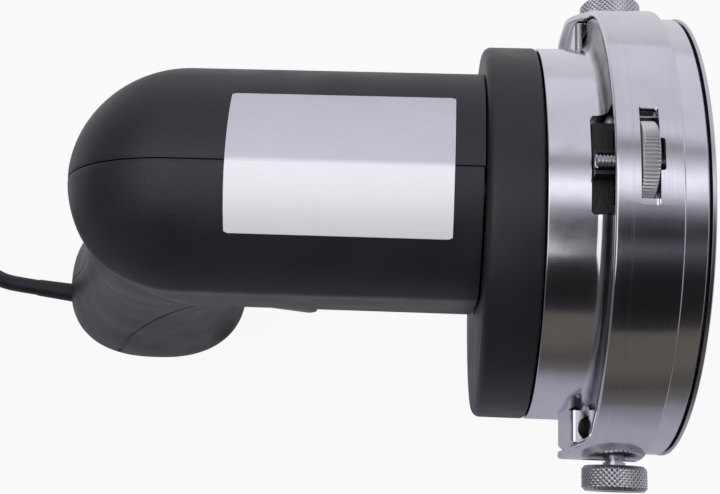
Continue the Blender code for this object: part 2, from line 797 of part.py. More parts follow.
def make_right_housing(hollows):
    """The right half with the collar and the blind screw holes."""
    shell = housing_half("right_housing", -1)
    collar = turned("collar", collar_profile(), head_point(0.0), FORWARD, WIDE_STEPS)
    combine(shell, collar, "UNION")
    for hollow in hollows:
        combine(shell, hollow)
    combine(shell, heel_tongue("heel_tongue", 0.0), "UNION")
    cut_screw_holes(shell, -1)
    for i, (y, rise) in enumerate(head_screw_places()):
        hole = rod(f"collar_hole_{i}", COLLAR_FRONT - BITE, WALL + 2 * BITE, SCREW_RADIUS + CLEARANCE,
                   head_point(0.0, y, rise), FORWARD, FINE_STEPS)
        combine(shell, hole)
    return shell


def make_left_housing(hollows):
    """The left half, with the recesses for the screw heads."""
    shell = housing_half("left_housing", 1)
    for hollow in hollows:
        combine(shell, hollow)
    combine(shell, heel_tongue("heel_groove", CLEARANCE))
    cut_screw_holes(shell, 1)
    return shell


def make_rating_plate():
    """A blank plate that follows the top of the body."""
    front = COLLAR_REAR + PLATE_SETBACK
    lower = []
    upper = []
    for i in range(PLATE_STEPS + 1):
        y = PLATE_HALF_WIDTH * (2 * i / PLATE_STEPS - 1) - PLATE_OFFSET
        height = HEAD_HEIGHT + BODY_ARC_RISE + math.sqrt(BODY_ARC_RADIUS ** 2 - y ** 2)
        lower.append((y, height + CLEARANCE))
        upper.append((y, height + CLEARANCE + RATING_PLATE_THICKNESS))
    outline = lower + list(reversed(upper))
    rings = [[(world_x(depth), y, z) for y, z in outline] for depth in (front, front + PLATE_LENGTH)]
    return loft("rating_plate", rings, "silver_label")


def make_gear_head():
    """The polished casting with its web, neck, window and two ears."""
    fillet = [(DRUM_REAR, HEAD_RADIUS - RIM_WIDTH)]
    for i in range(FILLET_STEPS + 1):
        angle = math.pi / 2 * i / FILLET_STEPS
        fillet.append((DRUM_REAR + NECK_FILLET * (1 - math.cos(angle)) + CLEARANCE,
                       NECK_RADIUS + NECK_FILLET * (1 - math.sin(angle))))
    bore = BEARING_RADIUS + CLEARANCE
    profile = [(RIM_DEPTH, RECESS_RADIUS), (RIM_DEPTH, HEAD_RADIUS - RIM_CHAMFER),
               (RIM_DEPTH + RIM_CHAMFER, HEAD_RADIUS), (DRUM_REAR, HEAD_RADIUS)] + fillet
    profile += [(HEAD_REAR, NECK_RADIUS), (HEAD_REAR, NECK_BORE), (WEB_REAR, NECK_BORE), (WEB_REAR, bore),
                (WEB_FRONT, bore), (WEB_FRONT, RECESS_RADIUS)]
    head = turned("gear_head", profile, head_point(0.0), FORWARD, WIDE_STEPS, "polished_aluminium")
    for name, front, rear, half in well_parts():
        wide = half + WELL_WALL
        outer = box(f"{name}_wall", adjuster_point(rear + WELL_WALL, -wide, WELL_FLOOR - WELL_WALL),
                    adjuster_point(front - WELL_WALL, wide, NECK_BORE))
        combine(head, outer, "UNION")
    for i, (y, rise) in enumerate(head_screw_places()):
        boss = rod(f"head_boss_{i}", WEB_REAR - BITE, PLATE_FRONT - CLEARANCE - WEB_REAR + BITE, BOSS_RADIUS,
                   head_point(0.0, y, rise), FORWARD, FINE_STEPS)
        combine(head, boss, "UNION")
    for side in (1, -1):
        combine(head, ear_solid(side), "UNION")
    for name, front, rear, half in well_parts():
        inner = box(name, adjuster_point(rear, -half, WELL_FLOOR), adjuster_point(front, half, BAND_OUTER))
        combine(head, inner)
    socket = rod("rod_socket", ROD_FRONT - WELL_WALL, 2 * WELL_WALL, ROD_RADIUS + CLEARANCE,
                 adjuster_point(0.0, 0.0, ROD_RISE), FORWARD, FINE_STEPS)
    combine(head, socket)
    for side in (1, -1):
        combine(head, ear_pocket(side))
        hole = rod(f"ear_hole_{side}", -BAND_OUTER, EAR_WALL + BAND_THICKNESS + BITE, SCREW_SHANK + CLEARANCE,
                   head_point(SCREW_DEPTH), LEFTWARD if side > 0 else RIGHTWARD, FINE_STEPS)
        combine(head, hole)
    for i, (y, rise) in enumerate(head_screw_places()):
        start = PLATE_FRONT - HEAD_SCREW_BITE - BITE
        hole = rod(f"head_hole_{i}", start, HEAD_SCREW_BITE + 2 * BITE, SCREW_RADIUS + CLEARANCE,
                   head_point(0.0, y, rise), FORWARD, FINE_STEPS)
        combine(head, hole)
    return head


def well_parts():
    """Name, front, rear and half width of the wheel's room and of the window behind it."""
    return (
        ("wheel_room", WELL_FRONT, BLOCK_FRONT, WHEEL_RADIUS + CLEARANCE),
        ("window", BLOCK_FRONT - BITE, BLOCK_REAR + CLEARANCE, WELL_HALF_WIDTH),
    )


def ear_solid(side):
    """A block behind the drum that follows its outer radius."""
    half = math.asin(EAR_HALF_HEIGHT / HEAD_RADIUS)
    outer = []
    for i in range(EAR_STEPS + 1):
        angle = half * (2 * i / EAR_STEPS - 1)
        outer.append((HEAD_RADIUS * math.cos(angle), HEAD_RADIUS * math.sin(angle)))
    inner = NECK_RADIUS - BITE
    outline = outer + [(inner, EAR_HALF_HEIGHT), (inner, -EAR_HALF_HEIGHT)]
    front = DRUM_REAR - RIM_WIDTH
    rear = DRUM_REAR + EAR_LENGTH
    rings = []
    for depth in (front, rear):
        rings.append([head_point(depth, side * y, rise) for y, rise in outline])
    return loft(f"ear_{side}", rings)


def ear_pocket(side):
    """The slot through an ear that holds the clamp nut."""
    outer = HEAD_RADIUS - EAR_WALL
    inner = outer - EAR_POCKET
    front = SCREW_DEPTH - CLAMP_NUT_SIDE / 2 - CLEARANCE
    rear = DRUM_REAR + EAR_LENGTH - EAR_WALL
    low = head_point(rear, min(side * inner, side * outer), -EAR_HALF_HEIGHT - POCKET_OVERRUN)
    high = head_point(front, max(side * inner, side * outer), EAR_HALF_HEIGHT + POCKET_OVERRUN)
    return box(f"ear_pocket_{side}", low, high)


def make_bearing_plate():
    """The plate behind the drive gear, with seats for two bearings."""
    plate = ring("bearing_plate", PLATE_FRONT, PLATE_THICKNESS, NECK_BORE - CLEARANCE,
                 BEARING_RADIUS + CLEARANCE, head_point(0.0), FORWARD, WIDE_STEPS, "polished_aluminium")
    start = PLATE_FRONT - BITE
    length = PLATE_THICKNESS + 2 * BITE
    seat = rod("motor_bearing_seat", start, length, MOTOR_BEARING_RADIUS + CLEARANCE,
               mid_point(0.0, 0.0, MOTOR_RISE), FORWARD, FINE_STEPS)
    combine(plate, seat)
    for i, (y, rise) in enumerate(head_screw_places()):
        hole = rod(f"plate_hole_{i}", start, length, SCREW_RADIUS + CLEARANCE, head_point(0.0, y, rise),
                   FORWARD, FINE_STEPS)
        combine(plate, hole)
    return plate


def make_blade_train():
    """Blade, hub, nut, shaft, drive gear and the shaft's two bearings."""
    hole = SHAFT_RADIUS + CLEARANCE
    axis = head_point(0.0)
    blade = [(0.0, hole), (0.0, BLADE_RADIUS), (BLADE_THICKNESS, BLADE_RADIUS - BLADE_BEVEL),
             (BLADE_THICKNESS, hole)]
    turned("blade", blade, axis, FORWARD, WIDE_STEPS, "blade_steel")
    hub_front = BLADE_THICKNESS + CLEARANCE
    ring("blade_hub", hub_front, HUB_THICKNESS, HUB_RADIUS, hole, axis, FORWARD, MID_STEPS, "plated_steel")
    outline_solid("blade_nut", [circle(NUT_RADIUS, NUT_SIDES), circle(hole, FINE_STEPS)], NUT_THICKNESS,
                  head_point(-CLEARANCE - NUT_THICKNESS / 2), FORWARD, "plated_steel")
    shaft_front = -NUT_THICKNESS - BITE
    rod("blade_shaft", shaft_front, PLATE_REAR - shaft_front, SHAFT_RADIUS, axis, FORWARD, FINE_STEPS,
        "plated_steel")
    bearing_front = WEB_FRONT + CLEARANCE
    ring("front_shaft_bearing", bearing_front, BEARING_WIDTH, BEARING_RADIUS, hole, axis, FORWARD, MID_STEPS,
         "plated_steel")
    rear_front = PLATE_FRONT + CLEARANCE / 2
    ring("rear_shaft_bearing", rear_front, BEARING_WIDTH, BEARING_RADIUS, hole, axis, FORWARD, MID_STEPS,
         "plated_steel")


def make_gears():
    """The drive gear and the pinion that meshes with it."""
    tall = TOOTH_MODULE * TOOTH_HEIGHT_SHARE
    middle = GEAR_FRONT + GEAR_WIDTH / 2
    # In the turned plane, local X is world -Z and local Y is world Y.
    toward = math.pi - math.atan2(HEAD_OFFSET, MOTOR_RISE)
    gear = TOOTH_MODULE * GEAR_TEETH / 2
    root = gear - tall - CLEARANCE / 3
    outline = toothed(GEAR_TEETH, root, gear + tall, TOOTH_ROOT_SHARE, TOOTH_TIP_SHARE, toward)
    outline_solid("drive_gear", [outline, circle(SHAFT_RADIUS + CLEARANCE, FINE_STEPS)], GEAR_WIDTH,
                  head_point(middle), FORWARD, "core_steel")
    pinion = TOOTH_MODULE * PINION_TEETH / 2
    phase = toward + math.pi + math.pi / PINION_TEETH
    root = pinion - tall - CLEARANCE / 3
    outline = toothed(PINION_TEETH, root, pinion + tall, TOOTH_ROOT_SHARE, TOOTH_TIP_SHARE, phase)
    outline_solid("pinion", [outline, circle(ROTOR_SHAFT_RADIUS + CLEARANCE, FINE_STEPS)], GEAR_WIDTH,
                  mid_point(middle, 0.0, MOTOR_RISE), FORWARD, "core_steel")


def band_rear(angle):
    """Depth of the band's rear edge at an angle from straight left."""
    off = abs(math.atan2(math.sin(angle), math.cos(angle)))
    off = min(off, math.pi - off)
    past = min(max((off - TAB_ANGLE) / TAB_BLEND_ANGLE, 0.0), 1.0)
    return BAND_REAR + TAB_LENGTH * (1 + math.cos(math.pi * past)) / 2


def make_guard_band():
    """The sliding band round the head, with two side tabs and three slots."""
    rings = []
    for start, radius in ((0, BAND_OUTER), (1, BAND_OUTER), (1, BAND_INNER), (0, BAND_INNER)):
        points = []
        for i in range(WIDE_STEPS):
            angle = 2 * math.pi * (i + 0.5) / WIDE_STEPS
            depth = band_rear(angle) if start else BAND_SETBACK
            points.append(Vector((-depth, radius * math.cos(angle), radius * math.sin(angle))))
        rings.append(points)
    bm = bmesh.new()
    rows = [[bm.verts.new(point) for point in one] for one in rings]
    for near, far in zip(rows, rows[1:] + rows[:1]):
        for i in range(WIDE_STEPS):
            j = (i + 1) % WIDE_STEPS
            bm.faces.new((near[i], near[j], far[j], far[i]))
    data = mesh_from("guard_band", bm, math.radians(30.0))
    band = add_object("guard_band", data, head_point(0.0), None, "stainless_band")
    slot_half = WHEEL_THICKNESS / 2 + CLEARANCE
    reach = BLADE_RADIUS + KNOB_LENGTH
    drop = ROD_RISE + RIDGE_HEIGHT
    slot = box("wheel_slot", adjuster_point(WHEEL_DEPTH + slot_half, -SLOT_HALF_WIDTH, drop),
               adjuster_point(WHEEL_DEPTH - slot_half, SLOT_HALF_WIDTH, reach))
    combine(band, slot)
    notch_half = SLOT_HALF_WIDTH * NOTCH_SHARE
    notch = box("wheel_notch", adjuster_point(WHEEL_DEPTH, -notch_half, drop),
                adjuster_point(WHEEL_DEPTH - slot_half - BITE, notch_half, reach))
    combine(band, notch)
    hole = SCREW_SHANK + CLEARANCE
    for side in (1, -1):
        inner = BAND_INNER - BITE
        near = min(side * inner, side * reach)
        far = max(side * inner, side * reach)
        slot = box(f"screw_slot_{side}", head_point(SCREW_DEPTH + GUARD_OUT + hole, near, -hole),
                   head_point(SCREW_DEPTH - GUARD_IN - hole, far, hole))
        combine(band, slot)
    return band


def make_adjuster():
    """The knurled wheel, its threaded rod and the block that holds the rod."""
    place = adjuster_point(WHEEL_DEPTH, 0.0, ROD_RISE)
    outline = ridged(WHEEL_RIDGES, WHEEL_RADIUS - RIDGE_HEIGHT, WHEEL_RADIUS)
    outline_solid("adjusting_wheel", [outline, circle(ROD_RADIUS + CLEARANCE, FINE_STEPS)], WHEEL_THICKNESS,
                  place, FORWARD, "plated_steel")
    rod("adjusting_rod", ROD_FRONT, BLOCK_REAR - ROD_FRONT, ROD_RADIUS, adjuster_point(0.0, 0.0, ROD_RISE),
        FORWARD, FINE_STEPS, "plated_steel")
    half = WELL_HALF_WIDTH - CLEARANCE
    floor = WELL_FLOOR + CLEARANCE
    block = box("rod_block", adjuster_point(BLOCK_REAR, -half, floor),
                adjuster_point(BLOCK_FRONT + CLEARANCE, half, NECK_RADIUS - BLOCK_SINK), "black_plastic")
    half = ROD_RADIUS + BITE
    cradle = box("rod_cradle", adjuster_point(BLOCK_REAR, -half, floor + BITE),
                 adjuster_point(BLOCK_FRONT + CLEARANCE, half, ROD_RISE))
    combine(block, cradle, "UNION")
    groove = rod("rod_groove", BLOCK_FRONT - BITE, BLOCK_LENGTH + 2 * BITE, ROD_RADIUS + CLEARANCE,
                 adjuster_point(0.0, 0.0, ROD_RISE), FORWARD, FINE_STEPS)
    combine(block, groove)


def make_thumb_screws():
    """A knurled screw and a clamp nut on each side of the head."""
    for side, word in ((1, "left"), (-1, "right")):
        turn = LEFTWARD if side > 0 else RIGHTWARD
        axis = head_point(SCREW_DEPTH)
        inner = BAND_OUTER + CLEARANCE
        knob_start = inner + KNOB_NECK
        knob_end = knob_start + KNOB_LENGTH
        tip = HEAD_RADIUS - EAR_WALL - CLEARANCE - CLAMP_NUT_THICKNESS - RUNNING_GAP
        outline = ridged(KNOB_RIDGES, KNOB_RADIUS - RIDGE_HEIGHT, KNOB_RADIUS)
        middle = axis + Vector((0.0, side * (knob_start + knob_end) / 2, 0.0))
        knob = outline_solid(f"thumb_screw_{word}", [outline], KNOB_LENGTH, middle, turn, "plated_steel")
        deep = knob_start + BITE
        profile = [(-deep, 0.0), (-deep, SCREW_SHANK + WELD), (-inner, SCREW_SHANK), (-tip, SCREW_SHANK),
                   (-tip, 0.0)]
        shank = turned(f"thumb_shank_{word}", profile, axis, turn, FINE_STEPS)
        combine(knob, shank, "UNION")
        nut_outer = HEAD_RADIUS - EAR_WALL - CLEARANCE
        half = CLAMP_NUT_SIDE / 2
        near = side * nut_outer
        far = side * (nut_outer - CLAMP_NUT_THICKNESS)
        nut = box(f"clamp_nut_{word}", head_point(SCREW_DEPTH + half, min(near, far), -half),
                  head_point(SCREW_DEPTH - half, max(near, far), half), "brass")
        hole = rod(f"clamp_nut_hole_{word}", -HEAD_RADIUS, EAR_POCKET + EAR_WALL, SCREW_SHANK + CLEARANCE,
                   axis, turn, FINE_STEPS)
        combine(nut, hole)


def make_motor():
    """The motor's still and turning pieces, front to rear."""
    axis = mid_point(0.0, 0.0, MOTOR_RISE)
    ring("motor_field", FIELD_FRONT, FIELD_LENGTH, FIELD_RADIUS, FIELD_BORE, axis, FORWARD, MID_STEPS,
         "core_steel")
    hole = ROTOR_SHAFT_RADIUS + CLEARANCE
    ring("armature_core", FIELD_FRONT + RIB, FIELD_LENGTH - 2 * RIB, FIELD_BORE - ARMATURE_GAP, hole, axis,
         FORWARD, MID_STEPS, "copper")
    front = GEAR_FRONT - BITE
    rod("armature_shaft", front, REAR_BEARING_REAR - front, ROTOR_SHAFT_RADIUS, axis, FORWARD, FINE_STEPS,
        "plated_steel")
    blades = toothed(FAN_BLADES, FAN_RADIUS * FAN_HUB_SHARE, FAN_RADIUS, FAN_ROOT_SHARE, FAN_TIP_SHARE, 0.0)
    outline_solid("fan", [blades, circle(hole, FINE_STEPS)], FAN_WIDTH,
                  mid_point(FAN_FRONT + FAN_WIDTH / 2, 0.0, MOTOR_RISE), FORWARD, "white_nylon")
    ring("commutator", COMMUTATOR_FRONT, COMMUTATOR_LENGTH, COMMUTATOR_RADIUS, hole, axis, FORWARD,
         FINE_STEPS, "copper")
    ring("front_motor_bearing", PLATE_FRONT, MOTOR_BEARING_WIDTH, MOTOR_BEARING_RADIUS, hole, axis, FORWARD,
         FINE_STEPS, "plated_steel")
    ring("rear_motor_bearing", REAR_BEARING_FRONT, MOTOR_BEARING_WIDTH, MOTOR_BEARING_RADIUS, hole, axis,
         FORWARD, FINE_STEPS, "plated_steel")
    middle = (COMMUTATOR_FRONT + COMMUTATOR_REAR) / 2
    half = BRUSH_SIDE / 2
    for side, word in ((1, "left"), (-1, "right")):
        near = COMMUTATOR_RADIUS + CLEARANCE
        far = near + BRUSH_LENGTH
        ends = sorted((side * near, side * far))
        box(f"carbon_brush_{word}", mid_point(middle + half, ends[0], MOTOR_RISE - half),
            mid_point(middle - half, ends[1], MOTOR_RISE + half), "carbon")
        near = far + CLEARANCE
        far = BODY_HALF_WIDTH - WALL - CLEARANCE - BITE
        ends = sorted((side * near, side * far))
        box(f"brush_holder_{word}", mid_point(middle + half, ends[0], MOTOR_RISE - half),
            mid_point(middle - half, ends[1], MOTOR_RISE + half), "brass")


def trigger_height(share):
    """A height down the trigger."""
    top = HEAD_HEIGHT * TRIGGER_TOP_SHARE
    bottom = HEAD_HEIGHT * TRIGGER_BOTTOM_SHARE
    return top + (bottom - top) * share


def make_trigger():
    """The trigger, its return spring and the switch behind it."""
    face = []
    back = []
    for share, reach in TRIGGER_FACE_SHARES:
        height = trigger_height(share)
        line = grip_front(height / HEAD_HEIGHT)
        face.append((line + TRIGGER_REACH * reach, height))
        back.append((line - TRIGGER_REAR_DEPTH, height))
    outline = face + list(reversed(back))
    middle = trigger_height(TRIGGER_MIDDLE_SHARE)
    origin = Vector((grip_front(middle / HEAD_HEIGHT) - TRIGGER_REAR_DEPTH, 0.0, middle))
    # In the turned plane, local X is world X and local Y is world Z.
    flat = [(x - origin.x, z - origin.z) for x, z in outline]
    outline_solid("trigger", [flat], 2 * TRIGGER_HALF_WIDTH, origin, RIGHTWARD, "trigger_plastic")
    spring_height = trigger_height(SPRING_PLACE_SHARE)
    start = grip_front(spring_height / HEAD_HEIGHT) - TRIGGER_REAR_DEPTH - CLEARANCE - SPRING_WIRE
    points = []
    count = SPRING_TURNS * SPRING_POINTS
    for i in range(count + 1):
        angle = 2 * math.pi * SPRING_TURNS * i / count
        points.append((start - SPRING_LENGTH * i / count, SPRING_RADIUS * math.cos(angle),
                       spring_height + SPRING_RADIUS * math.sin(angle)))
    tube("trigger_spring", points, SPRING_WIRE, 1, "plated_steel")
    switch_front = start - SPRING_LENGTH - SPRING_WIRE - CLEARANCE
    half = SWITCH_HEIGHT / 2
    box("switch_body", (switch_front - SWITCH_DEPTH, -SWITCH_HALF_WIDTH, spring_height - half),
        (switch_front, SWITCH_HALF_WIDTH, spring_height + half), "black_plastic")


def make_screws():
    """Screws of the housing and of the head, each its own piece."""
    for i, (depth, rise) in enumerate(housing_screw_places(), 1):
        seat = SCREW_HOLE_DEPTH + CLEARANCE
        tip = SCREW_HOLE_DEPTH - CLEARANCE
        profile = [(-seat - SCREW_HEAD_HEIGHT, 0.0), (-seat - SCREW_HEAD_HEIGHT, SCREW_HEAD_RADIUS),
                   (-seat, SCREW_HEAD_RADIUS), (-seat, SCREW_RADIUS), (tip, SCREW_RADIUS), (tip, 0.0)]
        place = mid_point(depth, 0.0, rise)
        turned(f"housing_screw_{i}", profile, place, LEFTWARD, FINE_STEPS, "plated_steel")
    for i, (y, rise) in enumerate(head_screw_places(), 1):
        seat = COLLAR_FRONT + WALL + CLEARANCE
        head_end = seat + SCREW_HEAD_HEIGHT
        profile = [(PLATE_FRONT - HEAD_SCREW_BITE, 0.0), (PLATE_FRONT - HEAD_SCREW_BITE, SCREW_RADIUS),
                   (seat, SCREW_RADIUS), (seat, SCREW_HEAD_RADIUS), (head_end, SCREW_HEAD_RADIUS),
                   (head_end, 0.0)]
        turned(f"head_screw_{i}", profile, head_point(0.0, y, rise), FORWARD, FINE_STEPS, "plated_steel")


def relief_places():
    """X of the strain relief's flange and of its tip."""
    wall_inside = grip_rear(EXIT_SHARE) + WALL
    return wall_inside + RELIEF_SETBACK, grip_rear(EXIT_SHARE) - RELIEF_LENGTH


def make_strain_relief():
    """The rubber sleeve at the heel, and the clamp on its tail inside the grip."""
    flange, tip = relief_places()
    place = Vector((0.0, -EXIT_OFFSET, EXIT_HEIGHT))
    tail = flange + RELIEF_TAIL
    inside = flange + WALL
    taper = flange - RELIEF_SETBACK - 2 * WALL
    profile = [(-tail, 0.0), (-tail, CORD_RADIUS), (-inside, CORD_RADIUS), (-inside, RELIEF_FLANGE_RADIUS),
               (-flange, RELIEF_FLANGE_RADIUS), (-flange, RELIEF_RADIUS), (-taper, RELIEF_RADIUS),
               (-tip, RELIEF_TIP_RADIUS), (-tip, 0.0)]
    turned("strain_relief", profile, place, FORWARD, FINE_STEPS, "black_rubber")
    start = CLEARANCE - tail
    ring("cord_clamp", start, CLAMP_LENGTH, CLAMP_RADIUS, CORD_RADIUS + CLEARANCE, place, FORWARD, FINE_STEPS,
         "black_plastic")


def cord_stretch_points():
    """The cord from the strain relief to the coil, eased through its route."""
    _, tip = relief_places()
    start = (tip - CLEARANCE, -EXIT_OFFSET, EXIT_HEIGHT)
    second = (tip - CLEARANCE - CORD_RADIUS, -EXIT_OFFSET, EXIT_HEIGHT)
    last = CORD_ROUTE[-1]
    end = (COIL_START_X + CLEARANCE + 2 * CORD_RADIUS, last[1], last[2])
    ways = [start, second, *CORD_ROUTE, end, (COIL_START_X + CLEARANCE, last[1], last[2])]
    eased = [follow_curve(ways[1:-1], i / STRETCH_POINTS) for i in range(STRETCH_POINTS + 1)]
    return [start, *eased, ways[-1]]


def coil_points():
    """Lower loops winding in, a climb of half a turn, upper loops winding out, and the end to the plug."""
    last = CORD_ROUTE[-1]
    straight = COIL_START_X - 2 * CORD_RADIUS
    centre_y = last[1] - COIL_RADIUS
    points = [(COIL_START_X, last[1], last[2])]
    down = round(COIL_LOOPS_DOWN * COIL_POINTS)
    climb = COIL_POINTS // 2
    up = round(COIL_LOOPS_UP * COIL_POINTS)
    inner = COIL_RADIUS - COIL_PITCH * COIL_LOOPS_DOWN
    for i in range(down + climb + up + 1):
        angle = math.pi / 2 + 2 * math.pi * i / COIL_POINTS
        if i <= down:
            radius = COIL_RADIUS - COIL_PITCH * i / COIL_POINTS
            height = last[2]
        elif i <= down + climb:
            radius = inner - COIL_PITCH * min(i - down, down + climb - i) / COIL_POINTS
            height = last[2] + COIL_LAYER_RISE * (i - down) / climb
        else:
            radius = inner + COIL_PITCH * (i - down - climb) / COIL_POINTS
            height = last[2] + COIL_LAYER_RISE
        points.append((straight + radius * math.cos(angle), centre_y + radius * math.sin(angle), height))
    top = points[-1]
    points.append((plug_start(), top[1], top[2]))
    return points


def plug_start():
    """X where the cord meets the plug, clear of the coil's outer loop."""
    last = CORD_ROUTE[-1]
    straight = COIL_START_X - 2 * CORD_RADIUS
    tail_y = COIL_RADIUS - COIL_PITCH * (COIL_LOOPS_DOWN - COIL_LOOPS_UP)
    beside = max(tail_y - PLUG_HALF_WIDTH, 0.0)
    outer = COIL_RADIUS + 2 * CORD_RADIUS
    return straight - math.sqrt(max(outer ** 2 - beside ** 2, 0.0)) - CORD_RADIUS


def least_self_gap(points, radius):
    """Least gap between turns, measured on points more than half a turn apart."""
    least = math.inf
    skip = COIL_POINTS // 2
    for i in range(len(points)):
        for j in range(i + skip, len(points)):
            least = min(least, math.dist(points[i], points[j]) - 2 * radius)
    return least


def make_cord():
    """The free stretch, the coil of the rest, and the plug with its two pins."""
    tube("cord_stretch", cord_stretch_points(), CORD_RADIUS, 2, "black_rubber")
    points = coil_points()
    tube("cord_coil", points, CORD_RADIUS, 1, "black_rubber")
    length = sum(math.dist(a, b) for a, b in zip(points, points[1:]))
    stretch = cord_stretch_points()
    length += sum(math.dist(a, b) for a, b in zip(stretch, stretch[1:]))
    print(f"cord length {length:.3f} m")
    print(f"least gap between turns {least_self_gap(points, CORD_RADIUS):.5f} m")
    end = points[-1]
    half_height = end[2] - CLEARANCE
    start = end[0] - CLEARANCE
    rings = []
    for along, share in PLUG_SHARES:
        x = start - PLUG_LENGTH * along
        ring_points = []
        for i in range(FINE_STEPS):
            angle = 2 * math.pi * (i + 0.5) / FINE_STEPS
            c = math.cos(angle)
            s = math.sin(angle)
            y = PLUG_HALF_WIDTH * share * math.copysign(abs(c) ** PLUG_POWER, c)
            z = half_height * max(share, PLUG_HEIGHT_SHARE) * math.copysign(abs(s) ** PLUG_POWER, s)
            ring_points.append((x, end[1] + y, end[2] + z))
        rings.append(ring_points)
    loft("plug_body", rings, "black_rubber")
    for side, word in ((1, "left"), (-1, "right")):
        place = Vector((0.0, end[1] + side * PIN_SPACING / 2, end[2]))
        face = -(start - PLUG_LENGTH - CLEARANCE)
        profile = [(face, 0.0), (face, PIN_RADIUS), (face + PIN_LENGTH - PIN_RADIUS / 2, PIN_RADIUS),
                   (face + PIN_LENGTH, PIN_RADIUS / 2), (face + PIN_LENGTH, 0.0)]
        turned(f"plug_pin_{word}", profile, place, FORWARD, FINE_STEPS, "plated_steel")


def main():
    """Build every piece."""
    clear_scene()
    make_materials()
    hollows = make_hollows() + [trigger_slot(), relief_hole()]
    make_right_housing(hollows)
    make_left_housing(hollows)
    make_rating_plate()
    make_gear_head()
    make_bearing_plate()
    make_blade_train()
    make_gears()
    make_guard_band()
    make_adjuster()
    make_thumb_screws()
    make_motor()
    make_trigger()
    make_screws()
    make_strain_relief()
    make_cord()


main()
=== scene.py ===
# %% [markdown]
# # An electric kebab slicer
# A pistol grip motor unit stands on the butt of its grip, with a round blade in front.
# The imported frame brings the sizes. This file dresses it: finer surfaces, finishes,
# the cord, a pale floor and a camera where the photographer stood.

import math

import bpy
import numpy as np
from mathutils import Matrix, Vector


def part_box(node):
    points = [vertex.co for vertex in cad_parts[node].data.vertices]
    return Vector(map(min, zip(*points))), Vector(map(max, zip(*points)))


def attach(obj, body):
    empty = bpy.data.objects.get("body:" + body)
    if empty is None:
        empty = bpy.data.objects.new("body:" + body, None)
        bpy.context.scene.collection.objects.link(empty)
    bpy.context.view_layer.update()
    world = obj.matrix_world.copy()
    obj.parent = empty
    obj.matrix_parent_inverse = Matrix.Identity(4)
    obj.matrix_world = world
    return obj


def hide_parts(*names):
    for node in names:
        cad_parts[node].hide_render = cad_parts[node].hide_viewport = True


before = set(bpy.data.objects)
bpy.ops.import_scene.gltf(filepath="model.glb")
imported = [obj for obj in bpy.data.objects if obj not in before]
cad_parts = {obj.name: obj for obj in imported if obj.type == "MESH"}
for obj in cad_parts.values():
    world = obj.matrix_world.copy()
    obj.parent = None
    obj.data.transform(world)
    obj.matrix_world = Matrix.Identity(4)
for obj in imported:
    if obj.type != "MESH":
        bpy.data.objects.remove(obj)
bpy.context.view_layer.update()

# %% [markdown]
# Most of the head is turned round one axis, the blade's. Its place and the radii are
# read from the nodes' own boxes, so a change of size in the model carries through.

# %% Sizes read from the frame
MM = 0.001
TURN = 2 * math.pi
SPECK = 0.0001 * MM
CLEARANCE = 0.3 * MM
SEAM_Y = -1.4 * MM


def node_box(name):
    """Lowest corner, highest corner and middle of a node, as arrays."""
    low, high = (np.array(corner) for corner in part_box(name))
    return low, high, (low + high) / 2


blade_low, blade_high, (_, AXIS_Y, AXIS_Z) = node_box("blade")
RIM_X = blade_high[0]
BLADE_RADIUS = (blade_high[1] - blade_low[1]) / 2
head_low, head_high, _ = node_box("gear_head")
HEAD_RADIUS = (head_high[2] - head_low[2]) / 2
band_low, band_high, _ = node_box("guard_band")
BAND_RADIUS = (band_high[2] - band_low[2]) / 2
right_low, right_high, _ = node_box("right_housing")
COLLAR_RADIUS = AXIS_Y - right_low[1]
_, (LEFT_FRONT, BODY_HALF_WIDTH, BODY_TOP), _ = node_box("left_housing")
print("axis", AXIS_Y, AXIS_Z, "radii", BLADE_RADIUS, HEAD_RADIUS, BAND_RADIUS, COLLAR_RADIUS)

# %% [markdown]
# The camera looks down on the tool, from a little to its right side. Its place comes
# from matching a dozen points of the model with the photograph. The lens is given as
# a focal length in pixels of a picture 720 wide.

# %% Camera
PHOTO_WIDTH = 720
FOCAL_PIXELS = 1128.5
TILT = math.radians(13.60)
YAW = math.radians(3.11)
ROLL = math.radians(1.76)
BLADE_IN_CAMERA = np.array([70.36, -2.12, 263.37]) * MM
FILM_WIDTH = 36.0


def new_object(name, data):
    """An object that holds the data, linked to the scene."""
    item = bpy.data.objects.new(name, data)
    bpy.context.scene.collection.objects.link(item)
    return item


def camera_turn():
    """Rows are the camera's right, down and forward directions in the frame's axes."""
    c, s = math.cos(TILT), math.sin(TILT)
    base = np.array([[1, 0, 0], [0, -c, -s], [0, s, -c]])
    c, s = math.cos(YAW), math.sin(YAW)
    yaw = np.array([[c, 0, s], [0, 1, 0], [-s, 0, c]])
    c, s = math.cos(ROLL), math.sin(ROLL)
    roll = np.array([[c, -s, 0], [s, c, 0], [0, 0, 1]])
    return roll @ yaw @ base


def place_camera():
    """Puts the camera where the turn and the blade's place in its view say."""
    turn = camera_turn()
    spot = np.array([RIM_X, AXIS_Y, AXIS_Z]) - turn.T @ BLADE_IN_CAMERA
    data = bpy.data.cameras.new("camera")
    data.sensor_width = FILM_WIDTH
    data.lens = FOCAL_PIXELS / PHOTO_WIDTH * FILM_WIDTH
    data.clip_start = 0.01
    data.clip_end = 20.0
    item = new_object("camera", data)
    axes = np.stack([turn[0], -turn[1], -turn[2]], axis=1)
    item.matrix_world = Matrix.Translation(spot.tolist()) @ Matrix(axes.tolist()).to_4x4()
    bpy.context.scene.camera = item
    return item


camera = place_camera()
print("camera at", [round(value, 4) for value in camera.location])

# %% [markdown]
# Shader maths reads best as ordinary arithmetic. A small class wraps a socket and
# gives it the signs of arithmetic, each of which adds one Math node.

# %% A socket with arithmetic
def sign(operation, swapped=False):
    """A method that joins a value and another by one Math node, in either order."""
    def method(self, other):
        return self.join(operation, other, self) if swapped else self.join(operation, self, other)
    return method


